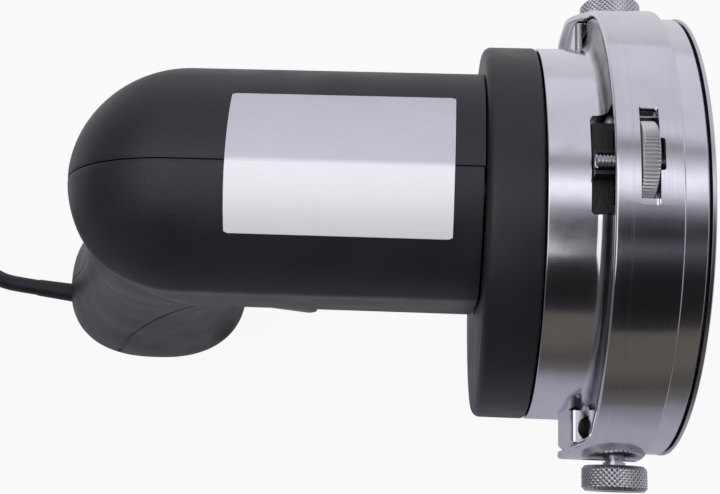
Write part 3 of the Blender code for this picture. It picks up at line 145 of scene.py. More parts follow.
class Value:
    """A number that runs through a node tree."""

    def __init__(self, recipe, socket):
        self.recipe = recipe
        self.socket = socket

    def join(self, operation, first, second):
        """One Math node on two values."""
        return self.recipe.node("ShaderNodeMath", {"operation": operation}, {0: first, 1: second})

    __add__ = __radd__ = sign("ADD")
    __sub__ = sign("SUBTRACT")
    __rsub__ = sign("SUBTRACT", swapped=True)
    __mul__ = __rmul__ = sign("MULTIPLY")
    __truediv__ = sign("DIVIDE")
    __pow__ = sign("POWER")


class Recipe:
    """The node tree of one finish, or of the surround."""

    def __init__(self, name, surround=False):
        self.material = bpy.data.worlds.new(name) if surround else bpy.data.materials.new(name)
        self.material.use_nodes = True
        self.tree = self.material.node_tree
        self.shader = self.tree.nodes["Background" if surround else "Principled BSDF"]

    def feed(self, socket, value):
        """Sets a socket, or links a value to it."""
        if isinstance(value, Value):
            self.tree.links.new(value.socket, socket)
        else:
            socket.default_value = value

    def node(self, kind, settings=None, inputs=None, output=0):
        """Any node: its settings first, then its sockets, and the value it gives."""
        made = self.tree.nodes.new(kind)
        for key, value in (settings or {}).items():
            if key == "stops":
                ramp = made.color_ramp
                for spot, (position, color) in enumerate(value):
                    stop = ramp.elements[spot] if spot < 2 else ramp.elements.new(position)
                    stop.position = position
                    stop.color = (*color, 1.0)
            else:
                setattr(made, key, value)
        for key, value in (inputs or {}).items():
            self.feed(made.inputs[key], value)
        return Value(self, made.outputs[output])

    def outputs(self, value, *names):
        """Outputs, by name, of the node that gave a value."""
        return [Value(self, value.socket.node.outputs[name]) for name in names]

    def parts(self, vector):
        """The three parts of a vector as values."""
        return self.outputs(self.node("ShaderNodeSeparateXYZ", None, {"Vector": vector}), "X", "Y", "Z")

    def rays(self):
        """What Light Path says of a ray: from the camera, from a gloss, or through glass."""
        return self.outputs(self.node("ShaderNodeLightPath"),
                            "Is Camera Ray", "Is Glossy Ray", "Is Transmission Ray")

    def place(self, scale=(1.0, 1.0, 1.0), center=(0.0, 0.0, 0.0)):
        """Object coordinates in millimetres, centred and stretched."""
        coordinates = self.node("ShaderNodeTexCoord", output="Object")
        moved = self.node("ShaderNodeVectorMath", {"operation": "SUBTRACT"}, {0: coordinates, 1: center})
        grow = tuple(part / MM for part in scale)
        return self.node("ShaderNodeVectorMath", {"operation": "MULTIPLY"}, {0: moved, 1: grow})

    def from_axis(self):
        """Place from the head's axis, the part of it along the axis, and the distance from the axis."""
        centered = self.place(center=(0.0, AXIS_Y, AXIS_Z))
        along, across, up = self.parts(centered)
        return centered, along, (across * across + up * up) ** 0.5

    def noise(self, spot, size, detail=2.0, rough=0.5):
        """Soft noise whose blobs are about this many millimetres."""
        return self.node("ShaderNodeTexNoise", None,
                         {"Vector": spot, "Scale": 1.0 / size, "Detail": detail, "Roughness": rough})

    def span(self, value, low, high, to_low=0.0, to_high=1.0):
        """Carries a value from one range to another, held at its ends."""
        return self.node("ShaderNodeMapRange", None, {"Value": value, "From Min": low, "From Max": high,
                                                      "To Min": to_low, "To Max": to_high})

    def blend(self, factor, first, second):
        """A colour between two colours."""
        return self.node("ShaderNodeMix", {"data_type": "RGBA"}, {0: factor, 6: first, 7: second}, output=2)

    def relief(self, height, distance, strength):
        """A bump from a height between 0 and 1, in metres of depth."""
        return self.node("ShaderNodeBump", None,
                         {"Height": height, "Distance": distance, "Strength": strength})

    def finish(self, color, roughness, metallic=0.0, normal=None):
        """Feeds the shader's own sockets."""
        pairs = {"Base Color": color, "Roughness": roughness, "Metallic": metallic, "Normal": normal}
        for name, value in pairs.items():
            if value is not None:
                self.feed(self.shader.inputs[name], value)
        return self.material


def ink(color, share=1.0, lift=(0.0, 0.0, 0.0)):
    """A colour for a socket: its parts times a share, plus a little lift."""
    return (*(min(1.0, part * share + more) for part, more in zip(color, lift)), 1.0)


print("a grey for a socket", ink((1.0, 1.0, 1.0), 0.5))

# %% [markdown]
# The housing is black ABS with a fine spark eroded grain: tiny pits that scatter the
# light, so the plastic looks charcoal where it is lit. The pits are a Voronoi field
# under soft noise, with a patchy roughness from handling.

# %% Plastic and rubber
def grained_plastic(name, color, pit_size, pit_depth, roughness):
    """Moulded plastic with a grain of small pits."""
    recipe = Recipe(name)
    spot = recipe.place()
    pits = recipe.node("ShaderNodeTexVoronoi", {"feature": "SMOOTH_F1"},
                       {"Vector": spot, "Scale": 1.0 / pit_size, "Smoothness": 0.6})
    fine = recipe.noise(spot, pit_size * 0.7, 3.0, 0.6)
    handling = recipe.noise(spot, 14.0, 3.0, 0.55)
    height = pits * 0.6 + fine * 0.6
    tint = recipe.span(handling + fine * 0.5, 0.5, 1.1)
    body = recipe.blend(tint, ink(color), ink(color, 1.35, (0.004, 0.004, 0.004)))
    rough = recipe.span(handling, 0.3, 0.7, roughness - 0.06, roughness + 0.07)
    return recipe.finish(body, rough, 0.0, recipe.relief(height, pit_depth, 0.7))


PLASTIC = grained_plastic("housing_plastic", (0.0115, 0.011, 0.0155), 0.55, 0.07 * MM, 0.44)
COLLAR_PLASTIC = grained_plastic("collar_plastic", (0.010, 0.0098, 0.0132), 0.55, 0.05 * MM, 0.42)
BLOCK_PLASTIC = grained_plastic("block_plastic", (0.008, 0.008, 0.009), 0.9, 0.15 * MM, 0.5)
TRIGGER_PLASTIC = grained_plastic("trigger_plastic", (0.012, 0.012, 0.014), 0.4, 0.02 * MM, 0.32)
SWITCH_PLASTIC = grained_plastic("switch_plastic", (0.03, 0.03, 0.032), 0.5, 0.03 * MM, 0.5)
NYLON = grained_plastic("fan_nylon", (0.70, 0.68, 0.62), 0.6, 0.03 * MM, 0.5)


def cord_rubber(name, color, roughness):
    """Soft cord sheath: faintly dusty, with a slight orange peel."""
    recipe = Recipe(name)
    spot = recipe.place()
    peel = recipe.noise(spot, 0.9, 2.0, 0.5)
    dust = recipe.noise(spot, 5.0, 4.0, 0.65)
    body = recipe.blend(recipe.span(dust, 0.45, 0.75), ink(color), ink(color, 1.9, (0.004, 0.004, 0.005)))
    rough = recipe.span(dust, 0.3, 0.7, roughness, roughness + 0.16)
    return recipe.finish(body, rough, 0.0, recipe.relief(peel, 0.03 * MM, 0.5))


CORD_RUBBER = cord_rubber("cord_rubber", (0.006, 0.007, 0.012), 0.42)
PLUG_RUBBER = cord_rubber("plug_rubber", (0.008, 0.008, 0.011), 0.48)
print("plastics and rubbers", len(bpy.data.materials))

# %% [markdown]
# Metals differ by how they were worked. The casting is polished by hand, so its gloss
# wanders. The band and the blade were ground while they turned, which leaves fine
# rings: noise that is stretched to nothing round the axis and tight along it.

# %% Metals
def polished_metal(name, color, roughness, waviness, corner=None):
    """Hand polished: wandering gloss, faint scratches and, in an inner corner, painted shade."""
    recipe = Recipe(name)
    cloud = recipe.noise(recipe.place(), 9.0, 3.0, 0.6)
    scratch = recipe.noise(recipe.place((0.25, 3.0, 3.0)), 0.5, 2.0, 0.7)
    tone = recipe.blend(recipe.span(cloud, 0.3, 0.7), ink(color), ink(color, 0.90))
    # Painted shade: near the step and inside the given radius the colour darkens to near black, as shade
    # falls in the crevice.
    if corner:
        step, reach, edge = (size / MM for size in corner)
        _, along, radius = recipe.from_axis()
        shade_near_step = recipe.span(along.join("ABSOLUTE", along - step, 0.0), 0.1, reach, 1.0, 0.0)
        inside = recipe.span(radius, edge - 0.4, edge, 1.0, 0.0)
        tone = recipe.blend(shade_near_step * inside * (0.5 + cloud), tone, ink((0.05, 0.05, 0.06)))
    rough = recipe.span(cloud * 0.7 + scratch * 0.3, 0.35, 0.65, roughness, roughness + 0.09)
    height = cloud * 0.8 + scratch * 0.1
    return recipe.finish(tone, rough, 1.0, recipe.relief(height, waviness, 0.5))


def ringed_metal(name, color, roughness, ring_size, ring_depth):
    """Metal ground while it turned: fine rings round the head's axis."""
    recipe = Recipe(name)
    centered, along, radius = recipe.from_axis()
    rings = recipe.node("ShaderNodeCombineXYZ", None, {"X": along, "Y": radius, "Z": 0.0})
    grooves = recipe.noise(rings, ring_size, 3.0, 0.7)
    cloud = recipe.noise(centered, 11.0, 3.0, 0.6)
    tone = recipe.blend(recipe.span(cloud + grooves * 0.6, 0.6, 1.1), ink(color), ink(color, 0.86))
    rough = recipe.span(grooves, 0.35, 0.65, roughness, roughness + 0.12)
    return recipe.finish(tone, rough, 1.0, recipe.relief(grooves, ring_depth, 0.6))


BAND_REAR_PLAIN = RIM_X - 19.4 * MM
# The last triple places painted shade in the crevice beside the band's rear edge.
CASTING = polished_metal("polished_casting", (0.84, 0.83, 0.88), 0.10, 0.03 * MM,
                         (BAND_REAR_PLAIN, 1.4 * MM, HEAD_RADIUS))
BAND_METAL = ringed_metal("stainless_band", (0.80, 0.79, 0.84), 0.05, 0.35, 0.0006 * MM)
BLADE_METAL = ringed_metal("ground_blade", (0.70, 0.70, 0.76), 0.20, 0.22, 0.006 * MM)
PLATED = polished_metal("plated_steel", (0.66, 0.65, 0.69), 0.22, 0.02 * MM)
WHEEL_STEEL = polished_metal("wheel_steel", (0.86, 0.84, 0.87), 0.45, 0.02 * MM)
DARK_STEEL = polished_metal("dark_steel", (0.30, 0.30, 0.33), 0.38, 0.02 * MM)
BRASS = polished_metal("plain_brass", (0.78, 0.62, 0.34), 0.28, 0.02 * MM)
COPPER = polished_metal("wound_copper", (0.72, 0.38, 0.22), 0.34, 0.03 * MM)


def label_foil():
    """Satin silver foil, blank, with a lengthwise brushed grain and a lavender cast. The half right of the
    seam is painted lit and the other half painted shaded.
    """
    recipe = Recipe("label_foil")
    grain = recipe.noise(recipe.place((0.06, 2.5, 2.5)), 0.5, 3.0, 0.6)
    cloud = recipe.noise(recipe.place(), 12.0, 2.0, 0.5)
    streaks = recipe.span(grain + cloud * 0.5, 0.5, 1.0)
    shaded = recipe.blend(streaks, ink((0.53, 0.52, 0.59)), ink((0.59, 0.58, 0.65)))
    bright = recipe.blend(streaks, ink((0.80, 0.80, 0.84)), ink((0.85, 0.85, 0.88)))
    across = recipe.parts(recipe.place())[1]
    # Painted light and shade: a lit tone right of the seam, a shaded tone left of it.
    tone = recipe.blend(recipe.span(across, SEAM_Y / MM - 0.6, SEAM_Y / MM + 0.6, 1.0, 0.0), shaded, bright)
    rough = recipe.span(grain, 0.3, 0.7, 0.34, 0.46)
    return recipe.finish(tone, rough, 0.10, recipe.relief(grain, 0.004 * MM, 0.4))


FOIL = label_foil()


def carbon_block():
    """Dry pressed carbon."""
    recipe = Recipe("carbon_block")
    specks = recipe.noise(recipe.place(), 0.4, 3.0, 0.7)
    tone = recipe.blend(specks, ink((0.02, 0.02, 0.02)), ink((0.05, 0.05, 0.05)))
    return recipe.finish(tone, 0.7, 0.0, recipe.relief(specks, 0.03 * MM, 0.6))


CARBON = carbon_block()
print("finishes", len(bpy.data.materials))

# %% [markdown]
# Every new surface is a grid of points, worked out as one array. A grid may close on
# itself from its last row to its first, and otherwise its ends are capped. The faces
# are turned outwards by the sign of the volume that they enclose.

# %% From a grid of points to a piece
def grid_of(x, y, z):
    """A grid of points from its three parts, each spread to the grid's full size."""
    return np.stack(np.broadcast_arrays(x, y, z), axis=-1)


def grid_faces(rows, columns, close_rows):
    """Quads of a grid, which always closes round its columns, as an array of vertex numbers."""
    down = np.arange(rows if close_rows else rows - 1)
    near, left = np.meshgrid(down, np.arange(columns), indexing="ij")
    far = (near + 1) % rows
    right = (left + 1) % columns
    corners = (near * columns + left, near * columns + right, far * columns + right, far * columns + left)
    return np.stack(corners, axis=-1).reshape(-1, 4)


def enclosed(points, faces):
    """Signed volume inside quads, from the origin."""
    a, b, c, d = (points[faces[:, i]] for i in range(4))
    first = np.einsum("ij,ij->i", a, np.cross(b, c))
    second = np.einsum("ij,ij->i", a, np.cross(c, d))
    return float((first + second).sum() / 6)


def smooth(mesh, sharp):
    """Smooth shading, except at edges that turn by more than this many degrees."""
    mesh.shade_smooth()
    mesh.set_sharp_from_angle(angle=math.radians(sharp))


def piece_from_grid(name, grid, close_rows=False, caps=True, material=None, sharp=32.0):
    """A mesh object from a grid of points, smooth except at sharp edges."""
    rows, columns, _ = grid.shape
    points = grid.reshape(-1, 3)
    faces = grid_faces(rows, columns, close_rows)
    flip = enclosed(points, faces) < 0
    if flip:
        faces = faces[:, ::-1]
    polygons = faces.tolist()
    if caps and not close_rows:
        first = list(range(columns))
        last = list(range((rows - 1) * columns, rows * columns))
        polygons += [first, last[::-1]] if flip else [first[::-1], last]
    mesh = bpy.data.meshes.new(name)
    mesh.from_pydata(points.tolist(), [], polygons)
    smooth(mesh, sharp)
    if material:
        mesh.materials.append(material)
    return new_object(name, mesh)


def carve(item, tools, operation="DIFFERENCE", sharp=32.0):
    """Cuts a piece with tools, or joins them to it, and keeps only the result."""
    for tool in tools:
        step = item.modifiers.new(tool.name, "BOOLEAN")
        step.object = tool
        step.operation = operation
        step.solver = "EXACT"
    graph = bpy.context.evaluated_depsgraph_get()
    mesh = bpy.data.meshes.new_from_object(item.evaluated_get(graph))
    item.modifiers.clear()
    item.data = mesh
    smooth(mesh, sharp)
    for tool in tools:
        bpy.data.objects.remove(tool, do_unlink=True)
    return item


def block(name, low, high):
    """A plain box, used only to cut other pieces: a rectangle at two heights."""
    (x, y, z), (far_x, far_y, far_z) = low, high
    return piece_from_grid(name, grid_of([x, far_x, far_x, x], [y, y, far_y, far_y], [[z], [far_z]]))


def settle(item, body, slot, *nodes):
    """Lets a piece ride on a body and stand for its CAD nodes. Its slot argument is not used."""
    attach(item, body)
    if nodes:
        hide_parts(*nodes)
    print(item.name, "rides on", body, "with", len(item.data.polygons), "faces")
    return item


print("quads of a grid of 3 by 4 points", len(grid_faces(3, 4, False)))

# %% [markdown]
# A turned piece is a profile of depth behind the blade's rim and radius. Real edges
# catch a line of light, so each corner of a profile is rounded by an arc.

# %% Turned pieces
def rounded(profile, steps=5):
    """A closed profile whose corners (depth, radius, round) become arcs that touch both sides."""
    corners = np.array(profile, dtype=float)
    places = corners[:, :2]
    points = []
    for i, (corner, size) in enumerate(zip(places, corners[:, 2])):
        if size <= 0.0:
            points.append(corner)
            continue
        before = places[i - 1] - corner
        after = places[(i + 1) % len(places)] - corner
        long_before = np.linalg.norm(before)
        long_after = np.linalg.norm(after)
        before = before / long_before
        after = after / long_after
        opening = math.acos(max(-1.0, min(1.0, float(before @ after))))
        back = min(size / math.tan(opening / 2), long_before * 0.49, long_after * 0.49)
        size = back * math.tan(opening / 2)
        middle = corner + (before + after) / np.linalg.norm(before + after) * size / math.sin(opening / 2)
        start = corner + before * back - middle
        end = corner + after * back - middle
        for share in np.linspace(0.0, 1.0, steps + 1):
            ray = start * (1 - share) + end * share
            points.append(middle + ray / np.linalg.norm(ray) * size)
    return np.array(points)


def rounded_box(x_low, x_high, low, high, near, far=None, steps=5):
    """A closed rectangle with one round at its low X side and another, or the same, at the far side."""
    far = near if far is None else far
    return rounded([(x_low, low, near), (x_low, high, near), (x_high, high, far), (x_high, low, far)], steps)


def spread(count):
    """Angles spread evenly round a turn."""
    return np.arange(count) * TURN / count


def squarish(count, power):
    """Signed powers of the cosine and sine of spread angles: the two parts of a superellipse."""
    angle = (np.arange(count) + 0.5) * TURN / count
    c, s = np.cos(angle), np.sin(angle)
    return np.sign(c) * np.abs(c) ** power, np.sign(s) * np.abs(s) ** power


def ring_grid(x, radius, angle, center=(AXIS_Y, AXIS_Z)):
    """Rings round a line along X: y and z are the centre's, plus r cos and r sin."""
    return grid_of(x, center[0] + radius * np.cos(angle), center[1] + radius * np.sin(angle))


def turned_piece(name, profile, steps, material, sharp=32.0):
    """A closed ring of the rounded profile, whose depth becomes X behind the rim."""
    points = rounded(profile)
    grid = ring_grid(RIM_X - points[:, :1], points[:, 1:], spread(steps))
    return piece_from_grid(name, grid, close_rows=True, material=material, sharp=sharp)


def pin_grid(profile, start, direction, steps):
    """A profile of (distance, radius) carried round any straight axis."""
    axis = np.array(direction, dtype=float)
    side = np.cross(axis, [0.0, 0.0, 1.0])
    other = np.cross(axis, side)
    angle = spread(steps)
    ray = np.cos(angle)[:, None] * side + np.sin(angle)[:, None] * other
    return np.array(start) + profile[:, 0][:, None, None] * axis + profile[:, 1][:, None, None] * ray[None]


def drill(name, near, far, radius, start, direction, steps=32, caps=True):
    """A straight pin between two distances from its start, used to cut a round hole."""
    profile = np.array([(near, SPECK), (near, radius), (far, radius), (far, SPECK)])
    return piece_from_grid(name, pin_grid(profile, start, direction, steps), caps=caps)


print("corners of a rounded box", len(rounded_box(0.0, 1.0, 0.0, 1.0, 0.1)))

# %% [markdown]
# The cord comes first because its length is a fact. Such a slicer has a lead of about
# 1.8 m. The photograph shows the first few centimetres, so the rest is wound in a coil
# just past the picture's left edge, in two layers, with the plug beyond it.

# %% Cord route
CORD_RADIUS = 2.5 * MM
relief_low, relief_high, relief_middle = node_box("strain_relief")
plug_low, plug_high, _ = node_box("plug_body")
EXIT = np.array([relief_low[0], *relief_middle[1:]])
ROUTE = np.array([
    (-0.0415, -0.0036, 0.0127),
    (-0.0475, -0.0012, 0.0113),
    (-0.0560, 0.0018, 0.0080),
    (-0.0640, 0.0030, 0.0048),
    (-0.0740, 0.0031, 0.0031),
    (-0.0850, 0.0030, 0.0028),
    (-0.0980, 0.0030, 0.0028),
])
COIL_START_X = -0.115
COIL_RADIUS = 44.0 * MM
COIL_PITCH = 5.6 * MM
LAYER_RISE = 5.6 * MM
LOOPS_DOWN = 4.5
LOOPS_UP = 4.0
LOOP_POINTS = 48
COIL_X = COIL_START_X - 2 * CORD_RADIUS
COIL_Y = ROUTE[-1][1] - COIL_RADIUS
COIL_INNER = COIL_RADIUS - COIL_PITCH * LOOPS_DOWN
MOUTH_INSIDE = 12.0 * MM
TAIL_SKIP = 8


def eased(points, count):
    """A smooth curve through points: each stretch is the cubic that its neighbours' slopes give."""
    share = np.linspace(0.0, len(points) - 1, count)
    i = np.minimum(share.astype(int), len(points) - 2)
    t = (share - i)[:, None]
    padded = np.vstack([points[:1], points, points[-1:]])
    a, b, c, d = (padded[i + k] for k in range(4))
    return (2 * b + (c - a) * t + (2 * a - 5 * b + 4 * c - d) * t ** 2 + (3 * b - a - 3 * c + d) * t ** 3) / 2


def tail_curve():
    """The stretch from inside the grip, through the sleeve and down to where the coil begins."""
    mouth = EXIT + [MOUTH_INSIDE, 0.0, 0.0]
    meet = [COIL_START_X + CLEARANCE + 2 * CORD_RADIUS, *ROUTE[-1][1:]]
    return eased(np.vstack([mouth, ROUTE[1:], meet]), 120)


def cord_path():
    """The whole cord: a spiral that winds in on the floor, climbs half a turn, and winds out again."""
    down = LOOPS_DOWN * LOOP_POINTS
    climb = LOOP_POINTS / 2
    i = np.arange(int(down + climb + LOOPS_UP * LOOP_POINTS) + 1)
    angle = math.pi / 2 + TURN * i / LOOP_POINTS
    rising = np.clip(i - down, 0.0, climb)
    winding_in = COIL_RADIUS - COIL_PITCH * np.minimum(i, down) / LOOP_POINTS
    winding_out = COIL_PITCH * np.maximum(i - down - climb, 0.0) / LOOP_POINTS
    dip = COIL_PITCH * np.minimum(rising, climb - rising) / LOOP_POINTS
    radius = winding_in + winding_out - dip
    height = ROUTE[-1][2] + LAYER_RISE * rising / climb
    coil = np.stack([COIL_X + radius * np.cos(angle), COIL_Y + radius * np.sin(angle), height], axis=1)
    return np.vstack([tail_curve()[TAIL_SKIP:], coil, [[plug_high[0], *coil[-1][1:]]]])


def tube_grid(path, radius, sides):
    """A round section carried along a path. Its side ray stays square to the path without twisting."""
    tangent = np.gradient(path, axis=0)
    tangent /= np.linalg.norm(tangent, axis=1)[:, None]
    side = np.empty_like(path)
    ray = np.cross(tangent[0], [0.0, 0.0, 1.0])
    for i in range(len(path)):
        ray = ray - tangent[i] * (ray @ tangent[i])
        ray = ray / np.linalg.norm(ray)
        side[i] = ray
    other = np.cross(tangent, side)
    angle = spread(sides)
    ring = np.cos(angle)[None, :, None] * side[:, None, :] + np.sin(angle)[None, :, None] * other[:, None, :]
    size = np.broadcast_to(radius, len(path))
    return path[:, None, :] + ring * size[:, None, None]


PATH = cord_path()
cord = piece_from_grid("cord", tube_grid(PATH, CORD_RADIUS, 20), material=CORD_RUBBER, sharp=60.0)

# %% [markdown]
# The plug is a moulded body that swells from the cord to a flat face with two round
# pins. Finger ribs run across its sides. Its outline is a superellipse whose half
# width and height follow a smooth curve along the plug.

# %% Plug and its pins
PLUG_LENGTH = plug_high[0] - plug_low[0]
PLUG_SWELL = ([0.0, 0.12, 0.25, 0.5, 0.62, 1.0], [0.30, 0.34, 0.46, 0.95, 1.0, 1.0])
PLUG_ROUND = 1.2 * MM
RIB_DEPTH = 0.035
CONTACT_TIP = 1.1 * MM


def plug_grid():
    """Superellipse rings: half sizes eased along the plug, with shallow ribs in the middle."""
    along = np.linspace(0.0, 1.0, 90)
    kernel = np.hanning(9)
    swell = np.pad(np.interp(along, *PLUG_SWELL), 4, mode="edge")
    swell = np.convolve(swell, kernel / kernel.sum(), mode="valid")
    ribs = RIB_DEPTH * np.clip(np.sin(along * TURN * 12), 0.0, 1.0) * ((along > 0.12) & (along < 0.46))
    edge = np.minimum(along, 1 - along) * PLUG_LENGTH / PLUG_ROUND
    soft = np.where(edge < 1, 0.88 + 0.12 * np.sqrt(np.clip(1 - (1 - edge) ** 2, 0.0, 1.0)), 1.0)
    y, z = squarish(64, 0.7)
    wide = (plug_high[1] - plug_low[1]) / 2 * (swell - ribs) * soft
    tall = (plug_high[2] - plug_low[2]) / 2 * (np.maximum(swell, 0.5) - ribs) * soft
    x = plug_high[0] - PLUG_LENGTH * along
    return grid_of(x[:, None], PATH[-1][1] + wide[:, None] * y, PATH[-1][2] + tall[:, None] * z)


def domed_pin(name, node, direction, tip, steps):
    """A pin that fills a node's box; its rounded end follows a sine in distance, a cosine in radius."""
    low, high, middle = node_box(node)
    length, radius = high[0] - low[0], (high[1] - low[1]) / 2
    bend = np.linspace(0.0, math.pi / 2, 8)
    distance = np.concatenate([[0.0, 0.0], length - tip + tip * np.sin(bend)])
    size = np.concatenate([[SPECK, radius], radius - tip + tip * np.cos(bend)])
    start = [high[0] if direction < 0 else low[0], *middle[1:]]
    grid = pin_grid(np.stack([distance, size], axis=1), start, (direction, 0, 0), steps)
    return piece_from_grid(name, grid, material=PLATED)


plug = settle(piece_from_grid("plug", plug_grid(), material=PLUG_RUBBER, sharp=50.0),
              "housing", "black_rubber", "plug_body")
plug_pins = [settle(domed_pin(f"plug_contact_{word}", f"plug_pin_{word}", -1, CONTACT_TIP, 40),
                    "housing", "plated_steel", f"plug_pin_{word}") for word in ("left", "right")]

# %% [markdown]
# A strap of hook tape holds the stored coil, closed round its turns at one side.

# %% Coil tie
TIE_TURN = math.radians(200.0)
TIE_HALF_WIDTH = 4.5 * MM
TIE_THICKNESS = 0.12 * MM
TIE_BESIDE = 0.6 * MM
TIE_ABOVE = 0.5 * MM
TIE_UNDER = 0.15 * MM


def strap_grid():
    """A flat band that goes round the coil's section: a rounded rectangle set across the turns."""
    out = np.array([math.cos(TIE_TURN), math.sin(TIE_TURN)])
    along = np.array([-out[1], out[0]])
    inner = COIL_INNER - 2 * CORD_RADIUS
    outer = COIL_RADIUS + CORD_RADIUS + TIE_BESIDE
    low = TIE_UNDER
    high = ROUTE[-1][2] + LAYER_RISE + CORD_RADIUS + TIE_ABOVE
    c, s = squarish(72, 0.35)
    far = (inner + outer) / 2 + (outer - inner) / 2 * c
    height = (low + high) / 2 + (high - low) / 2 * s
    thick = np.array([[0.0], [0.0], [1.0], [1.0]]) * TIE_THICKNESS
    side = np.array([[-1.0], [1.0], [1.0], [-1.0]]) * TIE_HALF_WIDTH
    far, height = far + thick * np.sign(c), height + thick * np.sign(s)
    return grid_of(COIL_X + out[0] * far + along[0] * side, COIL_Y + out[1] * far + along[1] * side, height)


tie = settle(piece_from_grid("coil_tie", strap_grid(), close_rows=True, material=SWITCH_PLASTIC, sharp=40.0),
             "housing", "black_rubber")
settle(cord, "housing", "black_rubber", "cord_stretch", "cord_coil")

# %% [markdown]
# The two halves of the housing are one shape split down the middle. The body is a
# rounded section carried along X and drawn in at the rear: an arc over the top, which
# meets leaning walls at a crease. The grip is a stack of superellipses below it.

# %% The body's section
MOTOR_RISE = 18.0 * MM
BELOW_AXIS = 12.0 * MM
BODY_CORNER = 9.0 * MM
BODY_TAPER = 2.0 * MM
CREASE_DROP = 17.7 * MM
ARC_RADIUS = (BODY_HALF_WIDTH ** 2 + CREASE_DROP ** 2) / (2 * CREASE_DROP)
ARC_ANGLE = math.asin(BODY_HALF_WIDTH / ARC_RADIUS)
ARC_CENTER = BODY_TOP - AXIS_Z - ARC_RADIUS
BODY_END = 27.0 * MM
REAR_START = 33.0 * MM
SHELL_WALL = 2.0 * MM
SEAM_GROOVE = 0.2 * MM
SEAM_SOFT = 0.6 * MM


def body_section(inset, count):
    """Half widths and rises round the body: an arc to the crease, a wall that leans in, a corner arc."""
    radius = ARC_RADIUS - inset
    wide = BODY_HALF_WIDTH - BODY_TAPER - inset
    corner = -BELOW_AXIS + inset + BODY_CORNER
    bend = np.linspace(0.0, 1.0, count) ** 1.25 * ARC_ANGLE
    over_y = radius * np.sin(bend)
    over_z = ARC_CENTER + radius * np.cos(bend)
    wall = np.linspace(0.0, 1.0, 10)[1:-1]
    bend = np.linspace(0.0, math.pi / 2, 14)
    y = np.concatenate([over_y, over_y[-1] + (wide - over_y[-1]) * wall,
                        wide - BODY_CORNER + BODY_CORNER * np.cos(bend)])
    z = np.concatenate([over_z, over_z[-1] + (corner - over_z[-1]) * wall,
                        corner - BODY_CORNER * np.sin(bend)])
    return np.concatenate([y, -y[:0:-1]]), np.concatenate([z, z[:0:-1]])


def body_grid(front, inset, section_points=46, end_rings=34):
    """The section at each X; behind REAR_START it shrinks by the cosine as X goes back by the sine."""
    y, z = body_section(inset, section_points)
    bend = np.linspace(0.0, math.pi / 2, end_rings)[1:] * 0.985
    x = np.concatenate([np.linspace(front, REAR_START, 10), REAR_START - (BODY_END - inset) * np.sin(bend)])
    scale = np.concatenate([np.ones(10), np.cos(bend)])[:, None]
    across = y * scale
    height = AXIS_Z + MOTOR_RISE + (z - MOTOR_RISE) * scale
    if inset == 0.0:
        height -= (height > AXIS_Z) * SEAM_GROOVE * np.exp(-((across - SEAM_Y) / SEAM_SOFT) ** 2)
    return grid_of(x[:, None], across, height)


print("arc's radius", round(ARC_RADIUS, 4), "degrees to a crease", round(math.degrees(ARC_ANGLE), 1))

# %% [markdown]
# The grip leans and swells towards the heel. The table gives, from the top down, the
# height, lean, half length and half width as shares, and a smooth curve runs through.
# On its right side a thin groove marks where a softer panel begins, and a shallow
# hollow takes the second finger.

# %% The grip's rings
GRIP_LEAN = 28.0 * MM
GRIP_HALF_LENGTH = 28.5 * MM
GRIP_HALF_WIDTH = 23.0 * MM
GRIP_POWER = 2.4
GRIP_SHARES = np.array([
    (1.13, 1.00, 0.78, 0.85),
    (1.00, 1.00, 0.80, 0.89),
    (0.815, 0.79, 0.79, 0.85),
    (0.583, 0.48, 0.754, 0.80),
    (0.352, 0.23, 0.825, 0.87),
    (0.167, 0.054, 0.965, 0.98),
    (0.056, 0.0, 1.0, 1.0),
    (0.0, 0.0, 0.877, 0.85),
])
GROOVE = np.array([(-10.5, 11.0), (-8.7, 16.0), (-3.7, 28.0), (0.4, 36.4), (9.2, 51.5), (17.0, 63.0),
                   (24.0, 71.5), (28.0, 76.0)]) * MM
GROOVE_RADIUS = 0.45 * MM
HOLLOW_PLACE = np.array([23.0, -16.0, 19.0]) * MM
HOLLOW_TOWARD = np.array([0.80, -0.60, 0.0])
HOLLOW_RADIUS = 12.0 * MM
HOLLOW_HEIGHT = 20.0 * MM
HOLLOW_DEPTH = 1.3 * MM


def grip_sizes(share):
    """The ring's lean, half length and half width at shares of the axis's height."""
    curve = eased(GRIP_SHARES, 400)
    curve = curve[np.argsort(curve[:, 0])]
    lean, length, width = (np.interp(share, curve[:, 0], curve[:, k]) for k in (1, 2, 3))
    return GRIP_LEAN * lean, GRIP_HALF_LENGTH * length, GRIP_HALF_WIDTH * width


def grip_grid(top_share, bottom, inset, rings=60, around=96):
    """Superellipse rings: x and y are half sizes times the signed powers of cosine and sine."""
    share = np.linspace(top_share, bottom / AXIS_Z, rings)[:, None]
    lean, length, width = grip_sizes(share)
    x, y = squarish(around, 2 / GRIP_POWER)
    return grid_of(lean + (length - inset) * x, (width - inset) * y, AXIS_Z * share)


def groove_grid():
    """A thin tube on the grip's right side: y follows from x and z by the ring's superellipse."""
    x, z = eased(GROOVE, 80).T
    lean, length, width = grip_sizes(z / AXIS_Z)
    y = -width * (1 - np.abs((x - lean) / length) ** GRIP_POWER) ** (1 / GRIP_POWER)
    return tube_grid(np.stack([x, y, z], axis=1), GROOVE_RADIUS, 10)


def hollow_grid():
    """An upright ellipsoid whose side dips into the grip where the second finger lies."""
    center = HOLLOW_PLACE + HOLLOW_TOWARD * (HOLLOW_RADIUS - HOLLOW_DEPTH)
    bend = np.linspace(0.02, 0.98, 24)[:, None] * math.pi
    angle = spread(48)
    return grid_of(center[0] + HOLLOW_RADIUS * np.sin(bend) * np.cos(angle),
                   center[1] + HOLLOW_RADIUS * np.sin(bend) * np.sin(angle),
                   center[2] + HOLLOW_HEIGHT * np.cos(bend))


